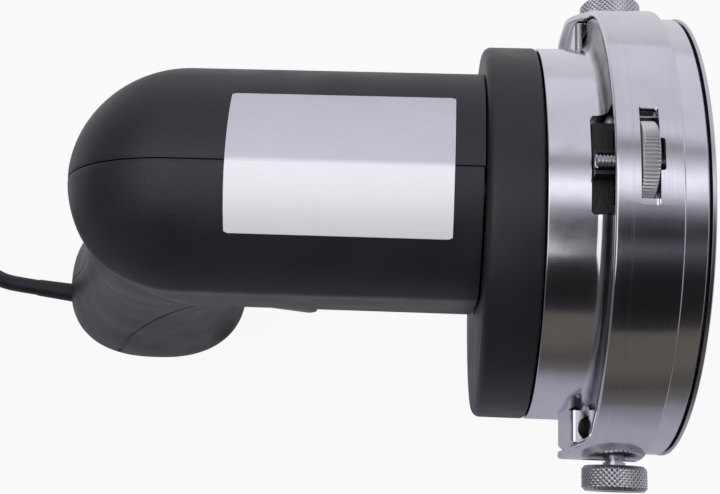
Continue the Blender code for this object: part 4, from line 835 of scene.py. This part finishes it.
print("grip leans", GRIP_LEAN, "and its heel is", 2 * GRIP_HALF_LENGTH, "by", 2 * GRIP_HALF_WIDTH)

# %% [markdown]
# The grip stands against the flat underside of the body. Both are joined, hollowed by
# smaller copies of themselves, and split where the two moulds meet. The slot for the
# trigger widens with the paddle, and the screws of the left half lie in recesses.

# %% Join, hollow and split the housing
trigger_low, trigger_high, _ = node_box("trigger")
TRIGGER_REAR_SHARE = 0.75
TRIGGER_TRAVEL = 5.0 * MM
SLEEVE_HOLE = 3.5 * MM
HOLE_DEPTH = 12.0 * MM
RECESS_RADIUS = 3.3 * MM
RECESS_DEPTH = 2.7 * MM
RECESS_REACH = 40.0 * MM
SLOT_BEHIND = 8.0 * MM
SLOT_AHEAD = 12.0 * MM
ROOM_BACK = 5.0 * MM
GRIP_TOP = 1.12
GRIP_ROOM_TOP = 0.92
FAR = 0.4


def trigger_half(x):
    """The paddle's half width at places in X, from its rear to its tip."""
    reach = np.clip((x - trigger_low[0]) / (trigger_high[0] - trigger_low[0]), 0.0, 1.0)
    return trigger_high[1] * (TRIGGER_REAR_SHARE + (1 - TRIGGER_REAR_SHARE) * reach)


def slot_grid():
    """The trigger's slot: a flat wedge that is as wide as the pulled paddle at each place in X."""
    x = np.array([trigger_low[0] - SLOT_BEHIND, trigger_low[0] - TRIGGER_TRAVEL,
                  trigger_high[0] - TRIGGER_TRAVEL, trigger_high[0] + SLOT_AHEAD])
    half = trigger_half(x + TRIGGER_TRAVEL) + CLEARANCE
    levels = np.array([[trigger_low[2] - CLEARANCE], [trigger_high[2] + CLEARANCE]])
    return grid_of(np.concatenate([x, x[::-1]]), np.concatenate([-half, half[::-1]]), levels)


def housing_shell(name, side):
    """One half of the hollow housing, on the left for side 1 and on the right for side -1."""
    front = LEFT_FRONT if side > 0 else LEFT_FRONT - 0.2 * MM
    shell = piece_from_grid(name, body_grid(front, 0.0), material=PLASTIC)
    carve(shell, [piece_from_grid(f"{name}_grip", grip_grid(GRIP_TOP, 0.0, 0.0))], "UNION")
    tools = [
        piece_from_grid(f"{name}_room", body_grid(front + ROOM_BACK, SHELL_WALL, 20, 14)),
        piece_from_grid(f"{name}_grip_room", grip_grid(GRIP_ROOM_TOP, SHELL_WALL, SHELL_WALL, 24, 48)),
        piece_from_grid(f"{name}_slot", slot_grid()),
        block(f"{name}_other", (-FAR, -side * FAR, -FAR), (FAR, SEAM_Y + side * CLEARANCE / 2, FAR)),
        drill(f"{name}_hole", 0.0, HOLE_DEPTH, SLEEVE_HOLE, EXIT + [3 * MM, 0, 0], (1, 0, 0), 40, False),
    ]
    if side < 0:
        tools.append(piece_from_grid(f"{name}_groove", groove_grid()))
        tools.append(piece_from_grid(f"{name}_hollow", hollow_grid()))
    for number in range(1, 6) if side > 0 else ():
        _, high, middle = node_box(f"housing_screw_{number}")
        start = (middle[0], high[1] - RECESS_DEPTH, middle[2])
        tools.append(drill(f"{name}_recess_{number}", 0.0, RECESS_REACH, RECESS_RADIUS, start, (0, 1, 0)))
    return carve(shell, tools, sharp=28.0)


right_shell = settle(housing_shell("right_shell", -1), "housing", "black_plastic", "right_housing")
left_shell = settle(housing_shell("left_shell", 1), "housing", "black_plastic", "left_housing")

# %% [markdown]
# The collar belongs to the right half. It is proud of the body, with a rounded rear
# edge and a small step in front where the casting seats.

# %% Collar
COLLAR_WALL = 2.5 * MM
COLLAR_OPENING = 31.0 * MM
COLLAR_BORE = 3.0 * MM
COLLAR_ROOM_BACK = 8.0 * MM


def make_collar():
    """A turned cup with an opening for the body in its rear wall."""
    front, rear = RIM_X - right_high[0], RIM_X - (LEFT_FRONT + CLEARANCE)
    radius, wall = COLLAR_RADIUS, COLLAR_WALL
    profile = [(front, COLLAR_OPENING, 0.2 * MM), (front, radius, 0.8 * MM), (rear, radius, 1.8 * MM),
               (rear, COLLAR_BORE, 0.0), (rear - wall, COLLAR_BORE, 0.0),
               (rear - wall, radius - wall, 0.5 * MM), (front + wall, radius - wall, 0.5 * MM),
               (front + wall, COLLAR_OPENING, 0.2 * MM)]
    collar = turned_piece("collar", profile, 200, COLLAR_PLASTIC, sharp=28.0)
    room = piece_from_grid("collar_room", body_grid(LEFT_FRONT + COLLAR_ROOM_BACK, SHELL_WALL, 20, 14))
    return carve(collar, [room], sharp=28.0)


collar = settle(make_collar(), "housing", "black_plastic", "right_housing")

# %% [markdown]
# The rating plate is thin foil, left blank here. It follows the top of the body, and
# its corners are slightly rounded.

# %% Rating plate
label_low, label_high, label_middle = node_box("rating_plate")
LABEL_CORNER = 0.3 * MM
LABEL_LIFTS = (0.12 * MM, 0.42 * MM)


def label_grid():
    """A sheet on the body's arc: z is the arc's centre plus the root of its radius squared less y squared."""
    half = (label_high[1] - label_low[1]) / 2
    x = np.linspace(label_low[0], label_high[0], 60)
    y = np.linspace(-half, half, 60)
    short = np.maximum(LABEL_CORNER - np.minimum(x - x[0], x[-1] - x), 0.0)
    trim = np.where(short > 0, LABEL_CORNER - np.sqrt(np.clip(LABEL_CORNER ** 2 - short ** 2, 0, None)), 0.0)
    narrow = label_middle[1] + y * ((half - trim) / half)[:, None]
    arc = AXIS_Z + ARC_CENTER + np.sqrt(ARC_RADIUS ** 2 - narrow ** 2)
    bottom, top = (grid_of(x[:, None], narrow, arc + lift) for lift in LABEL_LIFTS)
    return np.concatenate([bottom, top[:, ::-1]], axis=1)


settle(piece_from_grid("rating_foil", label_grid(), material=FOIL, sharp=40.0),
       "housing", "silver_label", "rating_plate")

# %% [markdown]
# The gear head is a polished casting: a drum behind the blade, a narrower neck into
# the collar, a window on top over the adjuster, and an open ear on each side.

# %% Gear head
wheel_low, wheel_high, (WHEEL_X, WHEEL_Y, WHEEL_Z) = node_box("adjusting_wheel")
WHEEL_RADIUS = (wheel_high[2] - wheel_low[2]) / 2
WHEEL_THICKNESS = wheel_high[0] - wheel_low[0]
SCREW_X = node_box("thumb_screw_left")[2][0]
block_low, block_high, _ = node_box("rod_block")
SCREW_HOLE = 2.3 * MM
RIM_WIDTH = 2.9 * MM
RIM_CHAMFER = 0.4 * MM
DRUM_REAR = 19.3 * MM
NECK_RADIUS = 42.9 * MM
NECK_BORE = 39.5 * MM
HEAD_FRONT = RIM_X - head_high[0]
HEAD_REAR = RIM_X - head_low[0]
WEB_FRONT = 5.0 * MM
WEB_REAR = 9.0 * MM
WEB_BORE = 8.0 * MM
EAR_HALF_HEIGHT = 11.0 * MM
EAR_LENGTHS = {1: 2.4 * MM, -1: 3.4 * MM}
EAR_ROUND = 1.2 * MM
EAR_WALL = 1.7 * MM
EAR_POCKET = 5.0 * MM
WINDOW_SPARE = 1.7 * MM
WHEEL_AHEAD = 5.1 * MM
WHEEL_UNDER = 0.7 * MM
EAR_INTO_DRUM = 2.0 * MM
EAR_INTO_NECK = 1.0 * MM
POCKET_AHEAD = 3.8 * MM
POCKET_PAST = 4.0 * MM
EAR_HOLE = (44.0 * MM, 52.0 * MM)


def ear_grid(side):
    """A block behind the drum with its outer radius: rows in depth, whose rear edges are drawn in."""
    angle = np.linspace(-1.0, 1.0, 40) * math.asin(EAR_HALF_HEIGHT / HEAD_RADIUS)
    bend = np.linspace(0, math.pi / 2, 8)
    rear = DRUM_REAR + EAR_LENGTHS[side]
    depth = rear - EAR_ROUND + EAR_ROUND * np.sin(bend)
    depth = np.concatenate([[DRUM_REAR - EAR_INTO_DRUM], depth])[:, None]
    cut = np.concatenate([[0.0], EAR_ROUND * (1 - np.cos(bend))])[:, None]
    bent = angle * ((EAR_HALF_HEIGHT - cut) / EAR_HALF_HEIGHT)
    outer_y = (HEAD_RADIUS - cut) * np.cos(bent)
    outer_z = (HEAD_RADIUS - cut) * np.sin(bent)
    inner_z = np.linspace(outer_z[:, -1], outer_z[:, 0], 40, axis=1)
    y = np.concatenate([outer_y, np.full_like(outer_y, NECK_RADIUS - EAR_INTO_NECK)], axis=1)
    return grid_of(RIM_X - depth, AXIS_Y + side * y, AXIS_Z + np.concatenate([outer_z, inner_z], axis=1))


def pocket_grid(side):
    """The slot through an ear: a flat tube along Z whose rear end is round."""
    outer = HEAD_RADIUS - EAR_WALL
    rear = DRUM_REAR + EAR_LENGTHS[side] - EAR_WALL
    front = RIM_X - SCREW_X - POCKET_AHEAD
    section = rounded_box(front, rear, outer - EAR_POCKET, outer, 0.3 * MM, 2.2 * MM, 8)
    height = np.array([[-1.0], [1.0]]) * (EAR_HALF_HEIGHT + POCKET_PAST)
    return grid_of(RIM_X - section[:, 0], AXIS_Y + side * section[:, 1], AXIS_Z + height)


def window_grid():
    """A rounded opening over the rod's block, with room to spare on the left."""
    half = (block_high[1] - block_low[1]) / 2 + CLEARANCE
    rear, left = block_low[0] - CLEARANCE, half + WINDOW_SPARE
    outline = rounded_box(rear, block_high[0], -half, left, 0.8 * MM, 0.0, 6)
    levels = np.array([[block_low[2] - CLEARANCE], [AXIS_Z + BAND_RADIUS]])
    return grid_of(outline[:, 0], WHEEL_Y + outline[:, 1], levels)


def make_gear_head():
    """Turned drum and neck with ears, less the window, the wheel's room, the pockets and the screw holes."""
    inner = HEAD_RADIUS - RIM_WIDTH
    profile = [
        (HEAD_FRONT, inner, 0.2 * MM), (HEAD_FRONT, HEAD_RADIUS - RIM_CHAMFER, 0.15 * MM),
        (HEAD_FRONT + RIM_CHAMFER, HEAD_RADIUS, 0.3 * MM), (DRUM_REAR, HEAD_RADIUS, 0.8 * MM),
        (DRUM_REAR, NECK_RADIUS, 2.2 * MM), (HEAD_REAR, NECK_RADIUS, 0.3 * MM),
        (HEAD_REAR, NECK_BORE, 0.2 * MM), (WEB_REAR, NECK_BORE, 0.5 * MM), (WEB_REAR, WEB_BORE, 0.3 * MM),
        (WEB_FRONT, WEB_BORE, 0.3 * MM), (WEB_FRONT, inner, 0.6 * MM),
    ]
    head = turned_piece("casting", profile, 240, CASTING, sharp=30.0)
    carve(head, [piece_from_grid(f"ear_{side}", ear_grid(side)) for side in (1, -1)], "UNION", 30.0)
    half = WHEEL_RADIUS + CLEARANCE
    tools = [block("wheel_room", (block_high[0] - CLEARANCE, WHEEL_Y - half, wheel_low[2] - WHEEL_UNDER),
                   (wheel_high[0] + WHEEL_AHEAD, WHEEL_Y + half, AXIS_Z + BAND_RADIUS)),
             piece_from_grid("window", window_grid())]
    tools += [piece_from_grid(f"pocket_{side}", pocket_grid(side)) for side in (1, -1)]
    tools += [drill(f"ear_hole_{side}", *EAR_HOLE, SCREW_HOLE, (SCREW_X, AXIS_Y, AXIS_Z), (0, side, 0))
              for side in (1, -1)]
    return carve(head, tools, sharp=30.0)


casting = settle(make_gear_head(), "housing", "polished_aluminium", "gear_head")

# %% [markdown]
# The guard band slides over the drum. Its rear edge reaches back at both sides, where
# the thumb screws clamp it, and the knurled wheel pokes through a slot on top. The
# screws' slots are as long as the band's travel.

# %% Guard band
BAND_THICKNESS = 1.5 * MM
BAND_FRONT = RIM_X - band_high[0]
BAND_WIDTH = 13.2 * MM
TAB_LENGTH = 3.8 * MM
TAB_ANGLE = math.radians(7.0)
TAB_BLEND = math.radians(14.0)
EDGE_ROUND = 0.45 * MM
UNIT_WIDTH = 10.0 * MM
SLOT_HALF_WIDTH = 10.1 * MM
NOTCH_HALF_WIDTH = 3.3 * MM
GUARD_OUT = 4.8 * MM
GUARD_IN = 3.2 * MM
SLOT_CORNER = 0.5 * MM
NOTCH_WIDTH = 1.0 * MM
ABOVE_BAND = 5.0 * MM
ACROSS_BAND = (48.0 * MM, 54.0 * MM)


def band_grid():
    """A rounded flat section round the axis: the rear edge moves back near both sides by a cosine ease."""
    angle = spread(288)
    off = np.abs(np.arctan2(np.sin(angle), np.cos(angle)))
    off = np.minimum(off, math.pi - off)
    past = np.clip((off - TAB_ANGLE) / TAB_BLEND, 0.0, 1.0)
    rear = BAND_FRONT + BAND_WIDTH + TAB_LENGTH * (1 + np.cos(math.pi * past)) / 2
    unit = rounded_box(0.0, UNIT_WIDTH, BAND_RADIUS - BAND_THICKNESS, BAND_RADIUS, EDGE_ROUND)
    from_front, radius = unit[:, :1], unit[:, 1:]
    long = rear - BAND_FRONT
    behind = BAND_FRONT + long - (UNIT_WIDTH - from_front)
    depth = np.where(from_front < UNIT_WIDTH / 2, BAND_FRONT + from_front, behind)
    return ring_grid(RIM_X - depth, radius, angle)


def slot_tool(name, x_low, x_high, half, levels, side=None):
    """A slot with rounded ends, cut down along Z on top or in along Y at a side."""
    levels = np.array(levels)[:, None]
    if side:
        outline = rounded_box(x_low, x_high, -half, half, half * 0.98, steps=10)
        return piece_from_grid(name, grid_of(outline[:, 0], AXIS_Y + side * levels, AXIS_Z + outline[:, 1]))
    outline = rounded_box(x_low, x_high, -half, half, SLOT_CORNER)
    return piece_from_grid(name, grid_of(outline[:, 0], WHEEL_Y + outline[:, 1], levels))


def make_band():
    """The band less the wheel's slot, the notch beside it and the two screw slots."""
    band = piece_from_grid("band", band_grid(), close_rows=True, material=BAND_METAL, sharp=30.0)
    half = WHEEL_THICKNESS / 2 + CLEARANCE
    levels = (WHEEL_Z, AXIS_Z + BAND_RADIUS + ABOVE_BAND)
    tools = [slot_tool("wheel_slot", WHEEL_X - half, WHEEL_X + half, SLOT_HALF_WIDTH, levels),
             slot_tool("wheel_notch", WHEEL_X, WHEEL_X + half + NOTCH_WIDTH, NOTCH_HALF_WIDTH, levels)]
    rear, front = SCREW_X - GUARD_OUT - SCREW_HOLE, SCREW_X + GUARD_IN + SCREW_HOLE
    tools += [slot_tool(f"screw_slot_{side}", rear, front, SCREW_HOLE, ACROSS_BAND, side)
              for side in (1, -1)]
    return carve(band, tools, sharp=30.0)


band = settle(make_band(), "guard", "stainless_band", "guard_band")

# %% [markdown]
# The wheel has straight ridges and the thumb screws a diamond knurl, which is two
# sets of crossing grooves. Both are real relief, because fingers and light feel them.

# %% Knurls
RIDGES = 66
RIDGE_DEPTH = 0.4 * MM
RIDGE_FADE = 0.6 * MM
WHEEL_BORE = 1.8 * MM
KNURL_PITCH = 1.15 * MM
KNURL_DEPTH = 0.3 * MM
KNOB_LENGTH = 5.5 * MM
KNOB_BEVEL = 0.75 * MM
BEVEL_STEP = 0.12 * MM
BEVEL_DROP = 0.65 * MM
SHANK = 2.0 * MM
NECK = 2.5 * MM
NECK_LENGTH = 0.8 * MM
DISH = (3.2 * MM, 2.9 * MM)
DISH_DEPTH = 0.3 * MM


def triangle(turns):
    """A triangle wave that falls from 1 to 0 and rises again within each whole turn."""
    return np.abs(turns % 1.0 - 0.5) * 2


def wheel_grid():
    """Radius drops by a triangle wave round the rim, faded towards the bevelled faces."""
    angle = spread(RIDGES * 8)
    half = WHEEL_THICKNESS / 2
    section = rounded([(-half, WHEEL_BORE, 0.15 * MM), (-half, WHEEL_RADIUS, 0.55 * MM),
                       (half, WHEEL_RADIUS, 0.3 * MM), (half, WHEEL_BORE, 0.15 * MM)])
    depth, radius = section[:, :1], section[:, 1:]
    at_rim = np.clip((radius - (WHEEL_RADIUS - RIDGE_FADE)) / RIDGE_FADE, 0.0, 1.0)
    ring = radius - RIDGE_DEPTH * at_rim * triangle(angle * RIDGES / TURN)
    return ring_grid(WHEEL_X - depth, ring, angle, (WHEEL_Y, WHEEL_Z))


def knob_grid(side, low, high):
    """Two crossing helical waves, the higher one showing, cut the rim of a profile with its shank."""
    radius = (high[2] - low[2]) / 2 + 0.04 * MM
    shank_end, end = sorted(abs(edge - AXIS_Y) for edge in (low[1], high[1]))
    start = end - KNOB_LENGTH
    edge, bevel = radius - KNOB_BEVEL, radius - BEVEL_DROP
    rim = np.linspace(start + KNOB_BEVEL, end - KNOB_BEVEL, 40)
    shoulder = start - NECK_LENGTH
    inside = end - DISH_DEPTH
    distance, size = np.vstack([
        [(shank_end, SPECK), (shank_end, SHANK), (shoulder, SHANK), (shoulder, NECK)],
        [(start, NECK), (start, edge), (start + BEVEL_STEP, bevel)],
        np.stack([rim, np.full(40, radius)], axis=1),
        [(end - BEVEL_STEP, bevel), (end, edge), (end, DISH[0]), (inside, DISH[1]), (inside, SPECK)],
    ]).T[:, :, None]
    count = round(TURN * radius / KNURL_PITCH)
    angle = spread(count * 8)
    turns = angle * count / TURN
    slide = distance / KNURL_PITCH
    depth = np.maximum(triangle(turns + slide), triangle(turns - slide))
    ring = size - np.where(size >= radius - 0.01 * MM, 1.0, 0.0) * KNURL_DEPTH * depth
    return grid_of(SCREW_X + ring * np.cos(angle), AXIS_Y + side * distance, AXIS_Z + ring * np.sin(angle))


settle(piece_from_grid("knurled_wheel", wheel_grid(), close_rows=True, material=WHEEL_STEEL, sharp=50.0),
       "wheel", "plated_steel", "adjusting_wheel")
for side, word in ((1, "left"), (-1, "right")):
    low, high, _ = node_box(f"thumb_screw_{word}")
    knob = knob_grid(side, low, high)
    settle(piece_from_grid(f"knurled_screw_{word}", knob, material=PLATED, sharp=50.0, caps=False),
           f"{word}_screw", "plated_steel", f"thumb_screw_{word}")

# %% [markdown]
# The adjusting rod is a fine screw. One grid does it: the radius falls by a triangle
# wave of the distance along the rod less the share of the turn.

# %% Threaded rod
THREAD_PITCH = 0.7 * MM
THREAD_DEPTH = 0.42 * MM


def rod_grid():
    """Radius is the outer one less a triangle wave of (distance / pitch - turn)."""
    low, high, middle = node_box("adjusting_rod")
    x = np.arange(low[0], high[0], THREAD_PITCH / 12)[:, None]
    angle = spread(36)
    ring = (high[1] - low[1]) / 2 - THREAD_DEPTH * triangle(x / THREAD_PITCH - angle / TURN)
    return ring_grid(x, ring, angle, (WHEEL_Y, middle[2]))


settle(piece_from_grid("threaded_rod", rod_grid(), material=PLATED, sharp=50.0),
       "housing", "plated_steel", "adjusting_rod")

# %% [markdown]
# The blade is a thin disc. From above only its narrow rim shows, past a dark gap, so
# the rim is a short cylinder with a small ground bevel in front. The hub's flange and
# a hexagon nut hold it on the shaft.

# %% Blade, hub, nut and shaft
SHAFT_BORE = 4.3 * MM
NUT_RADIUS = 8.0 * MM
NUT_FACE = 6.6 * MM
NUT_CHAMFER = 0.8 * MM
SPINDLE_TIP = 0.9 * MM


BEVEL_WIDTH = 0.5 * MM
BEVEL_DEPTH = 0.25 * MM


def disc_profile(node, rim_round, bevel=False):
    """Corners of a disc with the shaft's bore, which fills a node's box; a bevel cuts its front rim."""
    low, high, _ = node_box(node)
    front, rear, radius = RIM_X - high[0], RIM_X - low[0], (high[1] - low[1]) / 2
    rim = [(front, radius, rim_round)]
    if bevel:
        rim = [(front, radius - BEVEL_WIDTH, rim_round), (front + BEVEL_DEPTH, radius, rim_round)]
    return [(front, SHAFT_BORE, 0.1 * MM), *rim, (rear, radius, rim_round), (rear, SHAFT_BORE, 0.1 * MM)]


def nut_grid():
    """A hexagon with chamfered corners: the flat's distance over the cosine of the angle from it."""
    low, high, _ = node_box("blade_nut")
    front, rear = RIM_X - high[0], RIM_X - low[0]
    angle = (np.arange(144) + 0.5) * TURN / 144
    hexagon = NUT_RADIUS * math.cos(math.pi / 6) / np.cos((angle % (TURN / 6)) - TURN / 12)
    depth = np.array([front, front, front + NUT_CHAMFER, rear, rear])[:, None]
    caps = np.array([SHAFT_BORE, NUT_FACE, NUT_RADIUS, NUT_RADIUS, SHAFT_BORE])[:, None]
    ring = np.minimum(hexagon, caps)
    return grid_of(RIM_X - depth, AXIS_Y + ring * np.sin(angle), AXIS_Z + ring * np.cos(angle))


settle(turned_piece("round_blade", disc_profile("blade", 0.05 * MM, True), 256, BLADE_METAL, 14.0),
       "blade_rotor", "blade_steel", "blade")
settle(turned_piece("hub_flange", disc_profile("blade_hub", 0.4 * MM), 96, PLATED),
       "blade_rotor", "plated_steel", "blade_hub")
settle(piece_from_grid("hex_nut", nut_grid(), close_rows=True, material=PLATED, sharp=20.0),
       "blade_rotor", "plated_steel", "blade_nut")
settle(domed_pin("blade_spindle", "blade_shaft", 1, SPINDLE_TIP, 48),
       "blade_rotor", "plated_steel", "blade_shaft")

# %% [markdown]
# The trigger is a curved paddle with soft edges. Its side outline is drawn out from
# the grip's front, and a live bevel rounds the rim where the finger pulls.

# %% Trigger
TRIGGER_SHARES = np.array([(0.0, 0.05), (0.08, 0.35), (0.28, 0.42), (0.50, 0.50), (0.68, 0.62), (0.80, 0.85),
                           (0.90, 1.0), (0.96, 0.98), (1.0, 0.92)])
TRIGGER_REACH = 24.5 * MM
TRIGGER_REAR = 5.2 * MM
TRIGGER_ROUND = 1.6 * MM


def make_trigger():
    """The outline swept across the width, with rounded rims."""
    drop, reach = eased(TRIGGER_SHARES, 40).T
    height = trigger_high[2] + (trigger_low[2] - trigger_high[2]) * np.clip(drop, 0.0, 1.0)
    lean, length, _ = grip_sizes(height / AXIS_Z)
    face = lean + length + TRIGGER_REACH * reach
    back = lean + length - TRIGGER_REAR
    x = np.concatenate([face, back[::-1]])
    half = trigger_half(x)
    grid = grid_of(x, np.stack([-half, half]), np.concatenate([height, height[::-1]]))
    item = piece_from_grid("trigger_paddle", grid, material=TRIGGER_PLASTIC, sharp=40.0)
    rim = item.modifiers.new("soft rim", "BEVEL")
    rim.width = TRIGGER_ROUND
    rim.segments = 4
    rim.angle_limit = math.radians(50.0)
    return item


settle(make_trigger(), "trigger_slider", "trigger_plastic", "trigger")

# %% [markdown]
# The strain relief is a soft sleeve that follows the cord's own curve and tapers, so
# that the cord bends over a length and not at one point.

# %% Strain relief
SLEEVE_RADIUS = 2.65 * MM
SLEEVE_TAPER = 0.65 * MM
FLANGE_SWELL = 1.3 * MM


def relief_grid():
    """A sleeve round the cord's curve: a slim taper outside, which swells to a flange in the grip."""
    outside = tail_curve()[:TAIL_SKIP + 3][::-1]
    deeper = [relief_high[0] - outside[-1][0], 0.0, 0.0]
    path = np.vstack([outside, outside[-1] + np.outer(np.linspace(0.0, 1.0, 12)[1:], deeper)])
    share = np.linspace(0.0, 1.0, len(path))
    swell = np.clip((share - 0.75) / 0.12, 0.0, 1.0) ** 2
    return tube_grid(path, SLEEVE_RADIUS + SLEEVE_TAPER * share + FLANGE_SWELL * swell, 48)


settle(piece_from_grid("relief_sleeve", relief_grid(), material=PLUG_RUBBER, sharp=50.0),
       "housing", "black_rubber", "strain_relief")

# %% [markdown]
# The other nodes keep their solids and get a finish each. Those without a line of
# their own here are steel.

# %% Finishes for the nodes that stay
FINISHES = {
    "rod_block": BLOCK_PLASTIC, "switch_body": SWITCH_PLASTIC, "cord_clamp": SWITCH_PLASTIC, "fan": NYLON,
    "bearing_plate": CASTING, "motor_field": DARK_STEEL, "drive_gear": DARK_STEEL, "pinion": DARK_STEEL,
    "armature_core": COPPER, "commutator": COPPER, "clamp_nut_left": BRASS, "clamp_nut_right": BRASS,
    "brush_holder_left": BRASS, "brush_holder_right": BRASS, "carbon_brush_left": CARBON,
    "carbon_brush_right": CARBON,
}
for node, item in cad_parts.items():
    item.data.materials.clear()
    item.data.materials.append(FINISHES.get(node, PLATED))
print("nodes with a finish of their own", len(FINISHES), "of", len(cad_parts))

# %% [markdown]
# Polished metal shows its surroundings, so the surround is a picture of the studio: a
# bright ceiling strip, a pale wall on the left, and a dark room on the right. It is a
# ramp over the angle from straight up. Rays that only light a surface get about half
# of it, because two lamps bring the rest.

# %% Surround
LAVENDER = (0.93, 0.91, 1.0)
NAVY = (0.86, 0.88, 1.0)
BROWN = (1.0, 0.90, 0.80)
BLACK = (0.0, 0.0, 0.0)
SKY_PEAK = 1.25
SKY_HELD_BACK = 0.45
SKY = [
    (-180, 0.30, LAVENDER), (-140, 0.20, LAVENDER), (-124, 0.36, LAVENDER), (-111, 0.25, LAVENDER),
    (-100, 0.07, BROWN), (-90, 0.08, BROWN), (-81, 0.12, BROWN), (-61.5, 0.12, BROWN),
    (-59, 0.03, NAVY), (-49, 0.015, NAVY), (-35, 0.015, NAVY), (-27, 0.03, NAVY),
    (-20, 0.12, NAVY), (-13, 0.03, NAVY), (-6, 0.08, NAVY), (1, 0.33, LAVENDER),
    (8, 0.97, LAVENDER), (15, 1.20, LAVENDER), (22, 0.68, LAVENDER), (26, 0.45, LAVENDER),
    (30, 0.30, LAVENDER), (34, 0.58, LAVENDER), (38, 0.74, LAVENDER), (46, 0.70, LAVENDER),
    (64, 0.70, LAVENDER), (73, 0.75, LAVENDER), (85, 0.78, LAVENDER), (120, 0.78, LAVENDER),
    (150, 0.50, LAVENDER), (180, 0.30, LAVENDER),
]
SKY_FRONT = (0.50, 0.50, 0.54)
SKY_REAR = (0.14, 0.14, 0.15)


def make_world():
    """The ramp runs over the direction's angle from up towards the left; both ends of X are plain grey."""
    recipe = Recipe("surround", surround=True)
    along, across, up = recipe.parts(recipe.node("ShaderNodeTexCoord", output="Generated"))
    share = across.join("ARCTAN2", across, up) / TURN + 0.5
    stops = [((degrees + 180) / 360, tuple(strength / SKY_PEAK * part for part in tone))
             for degrees, strength, tone in SKY]
    sky = recipe.node("ShaderNodeValToRGB", {"stops": stops}, {"Fac": share})
    sky = recipe.blend(recipe.span(along, 0.72, 0.95), sky, ink(SKY_FRONT, 1 / SKY_PEAK))
    sky = recipe.blend(recipe.span(along, -0.80, -0.30, 1.0, 0.0), sky, ink(SKY_REAR, 1 / SKY_PEAK))
    camera_ray, glossy_ray, clear_ray = recipe.rays()
    shown = camera_ray.join("MAXIMUM", camera_ray, glossy_ray.join("MAXIMUM", glossy_ray, clear_ray))
    dimmer = recipe.blend(SKY_HELD_BACK, sky, ink(BLACK))
    recipe.feed(recipe.shader.inputs["Color"], recipe.blend(shown, dimmer, sky))
    recipe.feed(recipe.shader.inputs["Strength"], SKY_PEAK)
    bpy.context.scene.world = recipe.material


make_world()
print("surround stops", len(SKY))

# %% [markdown]
# The floor has to look white without more light on the object. Its paint is pale grey,
# and a glow lifts it for the camera, and partly for the rays that metal sends out. The
# little of the paint that still shows keeps the shadow. For those rays the glow is strong
# on the left and faint on the right, painted light and painted shade of the room, and
# far out on the right the paint turns dark brown, painted shade of the room's dark side.

# %% Floor
FLOOR_GLOW = 0.93
LEFT_GLOW = 0.52
RIGHT_GLOW = 0.04
FLOOR_SIZE = 2.5
FLOOR_Z = -0.05 * MM


def floor_paint():
    """Part of what the camera and the metal see of the floor is plain white, and the rest is shaded paint."""
    recipe = Recipe("floor_paint")
    grain = recipe.noise(recipe.place(), 30.0, 2.0, 0.5)
    paper = recipe.blend(grain, ink((0.45, 0.44, 0.52)), ink((0.49, 0.48, 0.56)))
    spot = recipe.place()
    away = recipe.node("ShaderNodeVectorMath", {"operation": "LENGTH"}, {0: spot}, output="Value")
    left = recipe.span(recipe.parts(spot)[1], -100.0, 100.0)
    # Painted shade: far out on the right the paint turns dark brown, as the room's dark side.
    dark = recipe.span(away, 300.0, 700.0) * (1.0 - left)
    recipe.finish(recipe.blend(dark, paper, ink((0.15, 0.14, 0.13))), 0.8)
    camera_ray, glossy_ray, clear_ray = recipe.rays()
    # Painted light and shade in reflections: the glow that metal sees is strong on the left and faint on the
    # right.
    glow = left * (LEFT_GLOW - RIGHT_GLOW) + RIGHT_GLOW
    mirrored = camera_ray.join("MAXIMUM", glossy_ray, clear_ray) * glow
    seen = camera_ray.join("MAXIMUM", camera_ray * FLOOR_GLOW, mirrored)
    paint = Value(recipe, recipe.shader.outputs[0])
    mix = recipe.node("ShaderNodeMixShader", None, {0: seen, 1: paint, 2: recipe.node("ShaderNodeEmission")})
    recipe.feed(recipe.tree.nodes["Material Output"].inputs[0], mix)
    return recipe.material


def make_floor():
    """A wide pale square just under the grip's heel."""
    mesh = bpy.data.meshes.new("floor")
    far = FLOOR_SIZE
    corners = [(-far, -far, FLOOR_Z), (far, -far, FLOOR_Z), (far, far, FLOOR_Z), (-far, far, FLOOR_Z)]
    mesh.from_pydata(corners, [], [(0, 1, 2, 3)])
    mesh.materials.append(floor_paint())
    return new_object("floor", mesh)


floor = make_floor()
print("floor", 2 * FLOOR_SIZE, "m wide")

# %% [markdown]
# Two long soft lamps hang above and behind the tool. They give the plastic its sheen
# and the floor its shadow. The ramp already shows a bright strip where the first one
# hangs, so reflections skip that lamp.

# %% Lamps
def strip_lamp(name, place, aim, length, width, power, color, mirrored=False):
    """A long soft lamp that looks at a point. Reflections skip it where the ramp already shows it."""
    data = bpy.data.lights.new(name, "AREA")
    data.shape = "RECTANGLE"
    data.size = length
    data.size_y = width
    data.energy = power
    data.color = color
    item = new_object(name, data)
    item.location = place
    item.rotation_euler = (Vector(aim) - Vector(place)).to_track_quat("-Z", "Y").to_euler()
    item.visible_glossy = mirrored


strip_lamp("ceiling_strip", (0.20, -0.06, 1.15), (0.10, 0.0, 0.10), 0.90, 0.34, 7.2, (1.0, 0.98, 1.0))
strip_lamp("rear_strip", (-0.30, -0.06, 1.0), (0.02, 0.0, 0.12), 1.00, 0.70, 2.2, (1.0, 0.99, 1.0), True)
bpy.context.scene.view_settings.view_transform = "Standard"
print("lamps", len(bpy.data.lights))
